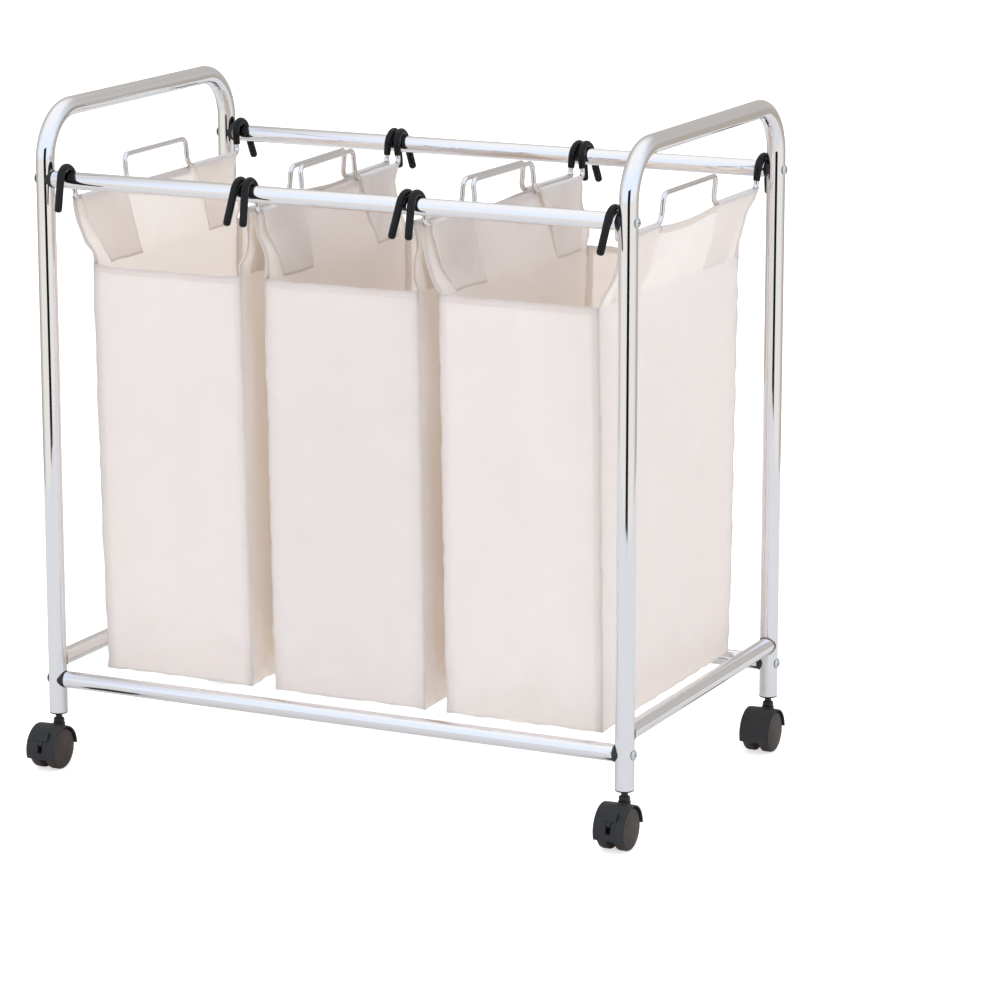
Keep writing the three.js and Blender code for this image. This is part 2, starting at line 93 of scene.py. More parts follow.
def put_mesh(name, points, faces, smooth=True, sharp=40):
    """A mesh from points (n, 3) and quads (m, 4), its doubles merged and its faces outwards."""
    mesh = bpy.data.meshes.new(name)
    count = len(points)
    mesh.vertices.add(count)
    mesh.vertices.foreach_set("co", np.asarray(points, np.float32).ravel())
    faces = np.asarray(faces, np.int32)
    mesh.loops.add(faces.size)
    mesh.loops.foreach_set("vertex_index", faces.ravel())
    mesh.polygons.add(len(faces))
    mesh.polygons.foreach_set("loop_start", np.arange(0, faces.size, 4, dtype=np.int32))
    mesh.update(calc_edges=True)
    mesh.validate()
    piece = bpy.data.objects.new(name, mesh)
    bpy.context.scene.collection.objects.link(piece)
    tidy_mesh(mesh)
    if smooth:
        mesh.shade_smooth()
        mesh.set_sharp_from_angle(angle=math.radians(sharp))
    return piece


def tidy_mesh(mesh, distance=1e-6):
    """Merge doubles, drop faces without area and turn the faces outwards."""
    work = bmesh.new()
    work.from_mesh(mesh)
    bmesh.ops.remove_doubles(work, verts=work.verts, dist=distance)
    bmesh.ops.dissolve_degenerate(work, edges=work.edges, dist=distance)
    bmesh.ops.recalc_face_normals(work, faces=work.faces)
    work.to_mesh(mesh)
    work.free()


def grid_faces(rows, columns, wrap_rows=False, wrap_columns=False, start=0):
    """Quads between neighbouring points of a grid, numbered row by row from start."""
    i = np.arange(rows if wrap_rows else rows - 1)
    j = np.arange(columns if wrap_columns else columns - 1)
    i, j = (a.ravel() for a in np.meshgrid(i, j, indexing="ij"))
    i2, j2 = (i + 1) % rows, (j + 1) % columns
    return start + np.stack([i * columns + j, i2 * columns + j, i2 * columns + j2,
                             i * columns + j2], axis=1)


def skin(name, points, wrap_rows=False, wrap_columns=False, sharp=40):
    """One surface from a grid of points (rows, columns, 3)."""
    rows, columns = points.shape[:2]
    return put_mesh(name, points.reshape(-1, 3),
                    grid_faces(rows, columns, wrap_rows, wrap_columns), sharp=sharp)


def turned(name, profile, place, axis="z", sides=64, sharp=40):
    """A turned piece: profile points (radius, height) carried round the axis.

    At angle a the point is place + radius * (cos a, sin a) across the axis + height along it.
    """
    profile = np.asarray(profile, float)
    angle = np.linspace(0, 2 * np.pi, sides, endpoint=False)
    radius, height = profile[:, :1], profile[:, 1:]
    across = [radius * np.cos(angle), radius * np.sin(angle)]
    along = np.broadcast_to(height, across[0].shape)
    order = {"x": (along, *across), "y": (across[1], along, across[0]), "z": (*across, along)}
    points = np.stack(order[axis], axis=-1) + np.asarray(place, float)
    return skin(name, points, wrap_columns=True, sharp=sharp)


def rounded(points, radii, steps=6):
    """A flat outline or path whose corners are turned by arcs of the given radii."""
    points = [np.asarray(p, float) for p in points]
    path = [points[0][None]]
    for before, corner, after, radius in zip(points, points[1:], points[2:], radii):
        into, out = before - corner, after - corner
        into, out = into / np.linalg.norm(into), out / np.linalg.norm(out)
        half = math.acos(np.clip(into @ out, -1, 1)) / 2
        if radius <= 0 or half > math.radians(89.5):
            path.append(corner[None])
            continue
        bisector = (into + out) / np.linalg.norm(into + out)
        centre = corner + bisector * radius / math.sin(half)
        start = corner + into * radius / math.tan(half) - centre
        end = corner + out * radius / math.tan(half) - centre
        turn = math.pi - 2 * half
        t = np.linspace(0, 1, steps + 1)[:, None]
        path.append(centre + (np.sin((1 - t) * turn) * start + np.sin(t * turn) * end)
                    / math.sin(turn))
    path.append(points[-1][None])
    return np.concatenate(path)


def directions(path):
    """Unit headings along a path: the mean of the two segments that meet at each point."""
    step = np.diff(path, axis=0)
    step /= np.linalg.norm(step, axis=1, keepdims=True)
    heading = np.concatenate([step[:1], step[:-1] + step[1:], step[-1:]])
    return heading / np.linalg.norm(heading, axis=1, keepdims=True)


def rod(path, radius, binormal, sides):
    """Rings (n, sides, 3) round a flat path; binormal is square to the path's plane."""
    heading = directions(path)
    binormal = np.broadcast_to(np.asarray(binormal, float), path.shape)
    normal = np.cross(binormal, heading)
    normal /= np.linalg.norm(normal, axis=1, keepdims=True)
    angle = np.linspace(0, 2 * np.pi, sides, endpoint=False)[None, :, None]
    radius = np.broadcast_to(np.asarray(radius, float), (len(path),))[:, None, None]
    return path[:, None] + radius * (np.cos(angle) * normal[:, None]
                                     + np.sin(angle) * binormal[:, None])


def capped(rings, round_start=0.0, round_end=0.0, steps=5):
    """Close a rod's two ends, each with a quarter-round edge of the given size."""
    def cap(ring, inward, size):
        centre = ring.mean(axis=0)
        radius = np.linalg.norm(ring[0] - centre)
        t = np.linspace(0, np.pi / 2, steps)[:, None, None] if size > 0 else np.zeros((1, 1, 1))
        shrink = 1 - size / radius * (1 - np.cos(t))
        rounds = centre + (ring - centre) * shrink - inward * (size * np.sin(t))
        flat = centre - inward * size
        return np.concatenate([rounds, np.broadcast_to(flat, (1, *ring.shape))])
    first = rings[1].mean(axis=0) - rings[0].mean(axis=0)
    last = rings[-2].mean(axis=0) - rings[-1].mean(axis=0)
    start = cap(rings[0], first / np.linalg.norm(first), round_start)
    end = cap(rings[-1], last / np.linalg.norm(last), round_end)
    return np.concatenate([start[::-1], rings, end])


def hollow(outer, inner):
    """A tube with open ends: the outer rings, then the inner rings back to the start."""
    return np.concatenate([outer, inner[::-1], outer[:1]])


# ---------------------------------------------------------------- materials

class Value:
    """A socket of a material, with arithmetic that adds Math nodes."""

    def __init__(self, finish, socket):
        self.finish, self.socket = finish, socket

    def math(self, operation, *others):
        return self.finish.add("ShaderNodeMath", {"operation": operation},
                               {i: v for i, v in enumerate((self, *others))})

    def reverse(self, operation, other):
        return self.finish.add("ShaderNodeMath", {"operation": operation}, {0: other, 1: self})

    def __add__(self, other):
        return self.math("ADD", other)

    def __sub__(self, other):
        return self.math("SUBTRACT", other)

    def __mul__(self, other):
        return self.math("MULTIPLY", other)

    def __truediv__(self, other):
        return self.math("DIVIDE", other)

    def __rsub__(self, other):
        return self.reverse("SUBTRACT", other)

    def __rtruediv__(self, other):
        return self.reverse("DIVIDE", other)

    __radd__ = __add__
    __rmul__ = __mul__

    def power(self, other):
        return self.math("POWER", other)

    def greater(self, other):
        return self.math("GREATER_THAN", other)

    def step(self, low, high):
        """0 below low, 1 above high, smooth between."""
        return self.finish.add("ShaderNodeMapRange",
                               {"interpolation_type": "SMOOTHSTEP"},
                               {"Value": self, "From Min": low, "From Max": high})


class Shading:
    """A tree of shader nodes, written as expressions."""

    def __init__(self, owner):
        owner.use_nodes = True
        self.nodes = owner.node_tree.nodes
        self.links = owner.node_tree.links

    def plug(self, socket, value):
        if isinstance(value, Value):
            self.links.new(value.socket, socket)
        elif isinstance(value, (tuple, list)) and len(value) == 3 and socket.type == "RGBA":
            socket.default_value = (*value, 1)
        else:
            socket.default_value = value

    def add(self, kind, settings=None, inputs=None, output=0):
        node = self.nodes.new(kind)
        for key, value in (settings or {}).items():
            setattr(node, key, value)
        for key, value in (inputs or {}).items():
            self.plug(node.inputs[key], value)
        return Value(self, node.outputs[output])

    def place(self, kind="Object"):
        node = self.nodes.new("ShaderNodeTexCoord")
        return Value(self, node.outputs[kind])

    def scaled(self, vector, scale):
        return self.add("ShaderNodeMapping", {}, {"Vector": vector, "Scale": scale})

    def noise(self, vector, scale, detail=2.0, roughness=0.5):
        return self.add("ShaderNodeTexNoise", {},
                        {"Vector": vector, "Scale": scale, "Detail": detail,
                         "Roughness": roughness})

    def parts(self, vector):
        node = self.nodes.new("ShaderNodeSeparateXYZ")
        self.links.new(vector.socket, node.inputs[0])
        return [Value(self, socket) for socket in node.outputs]

    def blend(self, mask, first, second):
        """A colour between first (mask 0) and second (mask 1)."""
        node = self.nodes.new("ShaderNodeMix")
        node.data_type = "RGBA"
        for name, value in (("Factor", mask), ("A", first), ("B", second)):
            socket = next(s for s in node.inputs if s.name == name and s.enabled)
            self.plug(socket, value)
        return Value(self, next(s for s in node.outputs if s.enabled))


class Finish(Shading):
    """A material round one Principled shader."""

    def __init__(self, name, **settings):
        self.material = bpy.data.materials.new(name)
        super().__init__(self.material)
        self.shader = self.nodes["Principled BSDF"]
        for key, value in settings.items():
            self.set(key.replace("_", " ").title(), value)

    def set(self, name, value):
        """Give an input of the surface shader a number, a colour or a link."""
        names = {"Specular Ior Level": "Specular IOR Level"}
        self.plug(self.shader.inputs[names.get(name, name)], value)

    def let_through(self, tint, share):
        """Mix in a Translucent shader, the same all over the surface."""
        mix = self.nodes.new("ShaderNodeMixShader")
        mix.inputs[0].default_value = share
        thin = self.nodes.new("ShaderNodeBsdfTranslucent")
        thin.inputs["Color"].default_value = (*tint, 1)
        out = self.nodes["Material Output"].inputs["Surface"]
        self.links.new(self.shader.outputs[0], mix.inputs[1])
        self.links.new(thin.outputs[0], mix.inputs[2])
        self.links.new(mix.outputs[0], out)

    def bump(self, height, distance, strength=1.0):
        bumped = self.add("ShaderNodeBump", {}, {"Height": height, "Distance": distance,
                                                 "Strength": strength})
        self.set("Normal", bumped)


def chrome_finish(name, tint, roughness):
    """Polished plate: faint waves of the polishing, fine dust and slightly duller patches."""
    finish = Finish(name, base_color=tint, metallic=1.0)
    place = finish.place()
    patches = finish.noise(place, 14.0, 3.0)
    dust = finish.noise(place, 900.0, 2.0).step(0.60, 0.75)
    finish.set("Roughness", patches.step(0.35, 0.75) * 0.03 + dust * 0.05 + roughness)
    finish.bump(finish.noise(place, 45.0, 1.0), 0.00003)
    return finish.material


def plastic_finish(name, colour, worn, roughness, grain, gloss=0.45):
    """Moulded plastic: fine grain, a faint haze over the colour and drier patches."""
    finish = Finish(name, specular_ior_level=gloss)
    place = finish.place()
    haze = finish.noise(place, 60.0, 4.0).step(0.4, 0.8)
    finish.set("Base Color", finish.blend(haze, colour, worn))
    finish.set("Roughness", finish.noise(place, 240.0, 3.0) * 0.16 + roughness)
    finish.bump(finish.noise(place, 3200.0, 2.0), grain)
    return finish.material


CHROME = chrome_finish("chrome_tube", (0.86, 0.86, 0.875), 0.045)
WIRE_CHROME = chrome_finish("chrome_wire", (0.80, 0.80, 0.815), 0.09)
ZINC = chrome_finish("zinc", (0.62, 0.65, 0.66), 0.26)
BLACK_PLASTIC = plastic_finish("black_plastic", (0.012, 0.012, 0.013), (0.022, 0.022, 0.024),
                               0.38, 0.00002)
HOOD_PLASTIC = plastic_finish("castor_hood", (0.016, 0.017, 0.018), (0.024, 0.024, 0.024),
                              0.40, 0.00003, 0.32)
WHEEL_PLASTIC = plastic_finish("castor_wheel", (0.030, 0.022, 0.017), (0.044, 0.033, 0.026),
                               0.36, 0.00003, 0.30)
VINYL = plastic_finish("black_vinyl", (0.006, 0.0055, 0.005), (0.009, 0.008, 0.007),
                       0.14, 0.00001, 0.22)


def dress(piece, material, body, slot, *nodes):
    """Give a piece its material, the body it rides on and the nodes it replaces; its record slot is
    not used.
    """
    piece.data.materials.clear()
    piece.data.materials.append(material)
    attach(piece, body)
    if nodes:
        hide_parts(*nodes)
    return piece


# ---------------------------------------------------------------- frame

def saddle(angle, rail_radius, post_radius):
    """How far from a post's axis its surface lies, along a crossing rail, at an angle round it."""
    return np.sqrt(post_radius ** 2 - (rail_radius * np.cos(angle)) ** 2)


def side_frame(side, s):
    """A bent tube: up the front post, over the push bar and down the back post."""
    x = s * POST_X
    corners = [(-POST_Y, FOOT_Z), (-POST_Y, TOP_Z - POST_R), (POST_Y, TOP_Z - POST_R),
               (POST_Y, FOOT_Z)]
    flat = rounded(corners, (BEND_R, BEND_R), steps=28)
    path = np.column_stack([np.full(len(flat), x), flat[:, 0] + FRAME_Y, flat[:, 1]])
    outer = rod(path, POST_R, (1, 0, 0), 64)
    inner = rod(path, POST_R - TUBE_WALL, (1, 0, 0), 64)
    piece = skin(f"fine_side_frame_{side}", hollow(outer, inner), wrap_columns=True)
    dress(piece, CHROME, "frame", "chrome_tube", f"side_frame_{side}")


def side_rail(side, s):
    """A cross tube whose ends follow the posts, with a small weld bead round each end."""
    x = s * POST_X
    angle = np.linspace(0, 2 * np.pi, 64, endpoint=False)
    def ring(radius, reach):
        return np.stack([x + radius * np.cos(angle), FRAME_Y + reach,
                         SIDE_RAIL_Z + radius * np.sin(angle)], axis=-1)
    def ends(radius):
        reach = POST_Y - saddle(angle, radius, POST_R)
        return np.stack([ring(radius, -reach), ring(radius, reach)])
    outer, inner = ends(RAIL_R), ends(RAIL_R - TUBE_WALL)
    piece = skin(f"fine_side_rail_{side}", hollow(outer, inner), wrap_columns=True)
    dress(piece, CHROME, "frame", "chrome_tube", f"side_rail_{side}")
    for end, e in ENDS:
        reach = POST_Y - saddle(angle, RAIL_R, POST_R)
        spine = ring(RAIL_R, e * reach)
        out = np.stack([np.cos(angle), np.zeros_like(angle), np.sin(angle)], axis=-1)
        along = np.array([0, -e, 0]) * np.ones_like(out)
        turn = np.linspace(0, 2 * np.pi, 10, endpoint=False)[:, None, None]
        size = 1.3 * MM * (1 + 0.12 * np.sin(9 * angle) + 0.08 * np.sin(23 * angle + 1))
        bead = spine + size[None, :, None] * (np.cos(turn) * out + np.sin(turn) * along)
        weld = skin(f"weld_{side}_{end}", bead, wrap_rows=True, wrap_columns=True)
        dress(weld, WELD, "frame", "chrome_tube")


def long_rail(level, end, z):
    """A straight tube along X between its two plugs."""
    y = middle(f"{level}_rail_{end}")[1]
    x = np.array([-RAIL_END, -RAIL_END + 0.6 * MM, RAIL_END - 0.6 * MM, RAIL_END])
    path = np.column_stack([x, np.full(4, y), np.full(4, z)])
    radius = np.array([RAIL_R - 0.4 * MM, RAIL_R, RAIL_R, RAIL_R - 0.4 * MM])
    outer = rod(path, radius, (0, 0, 1), 64)
    inner = rod(path, RAIL_R - TUBE_WALL, (0, 0, 1), 64)
    piece = skin(f"fine_{level}_rail_{end}", hollow(outer, inner), wrap_columns=True)
    dress(piece, CHROME, "frame", "chrome_tube", f"{level}_rail_{end}")


def rail_plug(level, end, side, s, z):
    """A plug whose saddle follows the post and whose spigot fills the rail's end.

    Round the rail at angle a, the saddle lies where the post's surface is, a hair proud of it.
    """
    name = f"{level}_rail_{end}_plug_{side}"
    y = middle(name)[1]
    angle = np.linspace(0, 2 * np.pi, 96, endpoint=False)
    def ring(radius, x):
        return np.stack([s * x * np.ones_like(angle), y + radius * np.cos(angle),
                         z + radius * np.sin(angle)], axis=-1)
    skin_r = RAIL_R + 0.25 * MM
    touch = POST_X - np.sqrt(np.maximum(POST_R ** 2 - (skin_r * np.cos(angle)) ** 2, 0))
    inner_touch = POST_X - np.sqrt(POST_R ** 2 - (0.6 * skin_r * np.cos(angle)) ** 2)
    spigot = RAIL_R - TUBE_WALL - 0.1 * MM
    rings = [ring(1e-5, RAIL_END - 24 * MM), ring(spigot, RAIL_END - 24 * MM),
             ring(spigot, RAIL_END - 0.2 * MM), ring(skin_r - 0.4 * MM, RAIL_END - 0.2 * MM),
             ring(skin_r, RAIL_END + 0.3 * MM), ring(skin_r, touch - 0.35 * MM),
             ring(skin_r - 0.3 * MM, touch - 0.05 * MM),
             ring(0.6 * skin_r, inner_touch), ring(1e-5, POST_X - POST_R)]
    piece = skin("fine_" + name, np.stack(rings), wrap_columns=True)
    dress(piece, BLACK_PLASTIC, "frame", "black_plastic", name)


def rail_screw(level, end, side, s, z):
    """A pan head with a cross recess; its shank is inside the post and the plug.

    The head's height over a disc of radius R is h * (1 - (r / R) ** 3.2), sunk inside a cross
    whose arms narrow towards their ends.
    """
    name = f"{level}_rail_{end}_screw_{side}"
    low, high = box(name)
    place = np.array([s * (POST_X + POST_R), (low[1] + high[1]) / 2, z])
    radius, height = (high[2] - low[2]) / 2, 2.7 * MM
    seed = {"front": 0.3, "back": 1.1}[end] + {"top": 0.5, "bottom": 0.0}[level] + 0.7 * s
    r = np.concatenate([np.linspace(0, 0.62, 26), np.linspace(0.66, 1, 12)])[:, None] * radius
    angle = np.linspace(0, 2 * np.pi, 96, endpoint=False)[None]
    u, v = r * np.cos(angle - seed), r * np.sin(angle - seed)
    arm = 0.60 * radius
    def slot(along, across):
        width = 0.13 * radius * (1.35 - np.abs(along) / arm)
        inside = np.clip((width - np.abs(across)) / (0.05 * radius), 0, 1)
        return inside * np.clip((arm - np.abs(along)) / (0.10 * radius), 0, 1)
    recess = np.maximum(slot(u, v), slot(v, u))
    top = height * (1 - (r / radius) ** 3.2) * np.ones_like(angle) - 1.9 * MM * recess
    face = np.stack([top, r * np.cos(angle), r * np.sin(angle)], axis=-1)
    def ring(size, reach):
        return np.stack([np.full(96, reach), size * np.cos(angle[0]), size * np.sin(angle[0])], -1)
    shank = 2.4 * MM
    under = np.stack([ring(radius, 0.0), ring(radius * 0.97, -0.1 * MM),
                      ring(shank, -0.1 * MM), ring(shank, -36 * MM), ring(1e-5, -38 * MM)])
    points = np.concatenate([face, under]) * np.array([s, 1, 1]) + place
    piece = skin("fine_" + name, points, wrap_columns=True, sharp=30)
    dress(piece, ZINC, "frame", "zinc_screw", name)


def weld_finish():
    """Weld bead: dull grey under brown heat tint, uneven."""
    finish = Finish("weld", metallic=1.0)
    place = finish.place()
    heat = finish.noise(place, 120.0, 3.0).step(0.35, 0.65)
    finish.set("Base Color", finish.blend(heat, (0.42, 0.36, 0.29), (0.20, 0.14, 0.09)))
    finish.set("Roughness", finish.noise(place, 300.0) * 0.3 + 0.3)
    finish.bump(finish.noise(place, 700.0, 2.0), 0.0002)
    return finish.material


WELD = weld_finish()

for side, s in SIDES:
    side_frame(side, s)
    side_rail(side, s)
for end, _ in ENDS:
    for level, z in (("top", TOP_RAIL_Z), ("bottom", BOTTOM_RAIL_Z)):
        long_rail(level, end, z)
        for side, s in SIDES:
            rail_plug(level, end, side, s, z)
            rail_screw(level, end, side, s, z)


# ---------------------------------------------------------------- castors

def slab(name, outer, inner, cells=None, sharp=40):
    """A curved plate: outer and inner grids (rows, columns, 3) and the cells that are there.

    Each standing cell gives an outer and an inner face, and a wall stands along every edge that
    it doesn't share with another.
    """
    rows, columns = outer.shape[:2]
    if cells is None:
        cells = np.ones((rows - 1, columns - 1), bool)
    number = np.arange(rows * columns).reshape(rows, columns)
    under = number + rows * columns
    def quads(a, b, c, d, there):
        return np.stack([a[there], b[there], c[there], d[there]], axis=1)
    corner = (slice(None, -1), slice(None, -1)), (slice(1, None), slice(None, -1)), \
        (slice(1, None), slice(1, None)), (slice(None, -1), slice(1, None))
    top = [number[c] for c in corner]
    low = [under[c] for c in corner]
    faces = [quads(*top, cells), quads(*low[::-1], cells)]
    padded = np.pad(cells, 1)
    beyond = (padded[1:-1, :-2], padded[2:, 1:-1], padded[1:-1, 2:], padded[:-2, 1:-1])
    for side, neighbour in enumerate(beyond):
        i, j = side, (side + 1) % 4
        faces.append(quads(top[j], top[i], low[i], low[j], cells & ~neighbour))
    points = np.concatenate([outer.reshape(-1, 3), inner.reshape(-1, 3)])
    faces = np.concatenate(faces)
    used = np.unique(faces)
    return put_mesh(name, points[used], np.searchsorted(used, faces), sharp=sharp)


def bevelled(piece, width, segments=2, angle=30):
    """Round a piece's hard edges."""
    bevel = piece.modifiers.new("rounded edges", "BEVEL")
    bevel.width, bevel.segments = width, segments
    bevel.limit_method, bevel.angle_limit = "ANGLE", math.radians(angle)
    bevel.harden_normals = False
    piece.data.shade_smooth()
    return piece


HOOD_R = 28.1 * MM
HOOD_WALL = 2.2 * MM
HOOD_FRONT, HOOD_BACK = -20, 178
SLOT_LOW, SLOT_HIGH = -2, 49
TAB_LOW, TAB_HIGH, LEG_LOW = 29, 50, 16
TAB_WIDTH, LEG_WIDTH, SLOT_WIDTH = 18 * MM, 5 * MM, 6.2 * MM
WEB_WIDTH = 8.4 * MM


def polar(degrees, radius, x, axle):
    """Points at an angle about the axle, 0 to the front and 90 straight up."""
    a = np.radians(degrees)
    return np.stack(np.broadcast_arrays(axle[0] + x, axle[1] - radius * np.cos(a),
                                        axle[2] + radius * np.sin(a)), axis=-1)


def castor_hood(name, axle, brake):
    """The hood's shell, its slot where it has a brake, the web between the wheels and the boss."""
    angles = np.unique(np.concatenate([np.arange(HOOD_FRONT, HOOD_BACK + 1, 3.0),
                                       [SLOT_LOW, SLOT_HIGH, HOOD_BACK]]))[:, None]
    half = HOOD_WIDTH / 2
    x = np.unique(np.concatenate([np.linspace(-half, half, 15),
                                  [-SLOT_WIDTH / 2, SLOT_WIDTH / 2]]))[None]
    crown = 0.5 * MM * (1 - (x / half) ** 2)
    outer = polar(angles, HOOD_R + crown - 0.4 * MM, x, axle)
    inner = polar(angles, HOOD_R - HOOD_WALL, x, axle)
    mid_angle = (angles[1:] + angles[:-1]) / 2
    mid_x = (x[:, 1:] + x[:, :-1]) / 2
    hole = (mid_angle > SLOT_LOW) & (mid_angle < SLOT_HIGH) & (np.abs(mid_x) < SLOT_WIDTH / 2)
    shell = slab("fine_" + name + "_hood", outer, inner, ~hole if brake else None)
    bevelled(shell, 0.7 * MM)
    dress(shell, HOOD_PLASTIC, name, "castor_hood", name + "_hood")

    web_angles = np.linspace(86, 179, 30)[:, None]
    reach = np.array([[3 * MM, HOOD_R - HOOD_WALL + 0.2 * MM]])
    web = slab(name + "_web", polar(web_angles, reach, WEB_WIDTH / 2, axle),
               polar(web_angles, reach, -WEB_WIDTH / 2, axle))
    dress(web, HOOD_PLASTIC, name, "castor_hood")
    boss_r, boss_half = 5 * MM, WEB_WIDTH / 2 + 0.2 * MM
    boss = turned(name + "_axle_boss", [(2.2 * MM, -boss_half), (boss_r - 0.4 * MM, -boss_half),
                                        (boss_r, 0.4 * MM - boss_half), (boss_r, boss_half - 0.4 * MM),
                                        (boss_r - 0.4 * MM, boss_half), (2.2 * MM, boss_half),
                                        (2.2 * MM, -boss_half)], axle, "x", 48)
    dress(boss, HOOD_PLASTIC, name, "castor_hood")
    stem = middle(name + "_stem")[:2]
    low, high = HOOD_HIGH[2] - 12 * MM, HOOD_HIGH[2] - 1.6 * MM
    seat = turned(name + "_stem_boss", [(3.2 * MM, low), (7.2 * MM, low), (7.2 * MM, high - 0.5 * MM),
                                        (6.7 * MM, high), (3.2 * MM, high), (3.2 * MM, low)],
                  (*stem, 0), "z", 48)
    dress(seat, HOOD_PLASTIC, name, "castor_hood")


def castor_brake(name, axle):
    """A T of a lever: its tab stands proud of the hood and its leg lies in the slot.

    The tab's height over the hood falls from its upper edge to its lower one.
    """
    angles = np.array([LEG_LOW, LEG_LOW + 1, 20, 24, TAB_LOW - 0.5, TAB_LOW, TAB_LOW + 3, 36, 41, 46,
                       TAB_HIGH - 1, TAB_HIGH])[:, None]
    half = TAB_WIDTH / 2
    x = np.array([-half, -half * 0.9, -LEG_WIDTH / 2 - 1.5 * MM, -LEG_WIDTH / 2, 0, LEG_WIDTH / 2,
                  LEG_WIDTH / 2 + 1.5 * MM, half * 0.9, half])[None]
    climb = np.clip((angles - TAB_LOW) / (TAB_HIGH - TAB_LOW), 0, 1)
    on_leg = angles < TAB_LOW - 0.1
    dip = 1.1 * MM * np.clip(1 - np.abs(x) / (0.8 * half), 0, 1) * (climb > 0) * (climb < 0.95)
    proud = np.where(on_leg, 0.2 * MM - 1.2 * MM * np.clip((20 - angles) / 4, 0, 1) ** 2,
                     1.6 * MM + 3.0 * MM * climb ** 1.3 - dip)
    under = np.where(on_leg, -HOOD_WALL, 0.35 * MM + 0 * climb)
    outer = polar(angles, HOOD_R + proud, x, axle)
    inner = polar(angles, HOOD_R + under, x, axle)
    mid = (angles[1:] + angles[:-1]) / 2
    mid_x = np.abs((x[:, 1:] + x[:, :-1]) / 2)
    cells = (mid > TAB_LOW - 0.5) | (mid_x < LEG_WIDTH / 2)
    tab = slab("fine_" + name + "_brake", outer, inner, cells)
    bevelled(tab, 0.45 * MM)
    dress(tab, HOOD_PLASTIC, name + "_brake", "castor_hood", name + "_brake")
    arm_angles = np.linspace(LEG_LOW + 2, 44, 8)[:, None]
    reach = np.array([[8 * MM, HOOD_R + 0.6 * MM]])
    arm = slab(name + "_brake_arm", polar(arm_angles, reach, LEG_WIDTH / 2 - 0.4 * MM, axle),
               polar(arm_angles, reach, 0.4 * MM - LEG_WIDTH / 2, axle))
    dress(arm, BLACK_PLASTIC, name + "_brake", "castor_hood")
    claw_angles = np.linspace(-20, 66, 18)[:, None]
    reach = np.array([[5.5 * MM, 8.6 * MM]])
    claw = slab(name + "_brake_claw", polar(claw_angles, reach, LEG_WIDTH / 2, axle),
                polar(claw_angles, reach, -LEG_WIDTH / 2, axle))
    dress(claw, BLACK_PLASTIC, name + "_brake", "castor_hood")


def castor_wheel(name, side, s, axle):
    """A blind wheel: a domed disc with a shallow ring in it and a round-shouldered tread."""
    node = f"{name}_wheel_{side}"
    low, high = box(node)
    face = high[0] - low[0]
    shoulder = 3.4 * MM
    t = np.linspace(0, np.pi / 2, 9)
    disc_r = WHEEL_R - shoulder
    dome = np.linspace(0, 1, 14)[:-1]
    ring_groove = 0.25 * MM * np.exp(-((dome - 0.86) / 0.03) ** 2)
    profile = np.concatenate([
        np.column_stack([dome * disc_r + 1e-5, face - 1.2 * MM * dome ** 2 - ring_groove]),
        np.column_stack([disc_r + shoulder * np.sin(t), face - 1.3 * MM - shoulder * (1 - np.cos(t))]),
        [(WHEEL_R, 1.8 * MM), (WHEEL_R - 0.5 * MM, 0.5 * MM), (WHEEL_R - 1.8 * MM, 0)],
        [(6 * MM, 0), (6 * MM, 0.4 * MM), (2.3 * MM, 0.4 * MM), (2.3 * MM, 10 * MM), (1e-5, 10 * MM)],
    ])
    profile[:, 1] *= s
    inside = low[0] if s > 0 else high[0]
    wheel = turned("fine_" + node, profile, (inside, axle[1], axle[2]), "x", 96, sharp=50)
    dress(wheel, WHEEL_PLASTIC, node, "castor_wheel", node)


def castor_stem(name, stem):
    """A pin with a collar: its neck shows under the socket, its foot stands in the hood."""
    top = HOOD_HIGH[2] - 1.9 * MM
    profile = [(1e-5, top - 12 * MM), (3 * MM, top - 12 * MM), (3 * MM, top), (5.9 * MM, top),
               (6.5 * MM, top + 0.6 * MM), (6.5 * MM, top + 4.6 * MM), (6.1 * MM, top + 5.5 * MM),
               (5.0 * MM, top + 6.2 * MM), (4.2 * MM, top + 6.6 * MM), (3.9 * MM, top + 7.4 * MM),
               (3.9 * MM, FLANGE_Z - 0.3 * MM), (3 * MM, FLANGE_Z + 1 * MM),
               (3 * MM, FLANGE_Z + 25 * MM), (1e-5, FLANGE_Z + 26 * MM)]
    pin = turned("fine_" + name + "_stem", profile, (*stem, 0), "z", 48)
    dress(pin, BLACK_PLASTIC, name, "black_plastic", name + "_stem")


def castor_socket(name, stem):
    """A plug in the post's foot with a domed flange below it."""
    t = np.linspace(0, np.pi / 2, 8)
    flange_r, bore = POST_R + 0.15 * MM, 4.2 * MM
    deep = FOOT_Z - FLANGE_Z
    dome = np.column_stack([bore + (flange_r - bore) * np.sin(t),
                            FLANGE_Z - 0.2 * MM + (deep - 0.5 * MM) * (1 - np.cos(t))])
    insert = POST_R - TUBE_WALL - 0.15 * MM
    profile = np.concatenate([
        [(bore, FOOT_Z + 24 * MM)], dome,
        [(flange_r, FOOT_Z - 0.12 * MM), (insert, FOOT_Z - 0.1 * MM), (insert, FOOT_Z + 28 * MM),
         (bore, FOOT_Z + 29 * MM), (bore, FOOT_Z + 24 * MM)]])
    socket = turned("fine_" + name + "_socket", profile, (*stem, 0), "z", 64)
    dress(socket, BLACK_PLASTIC, "frame", "black_plastic", name + "_socket")


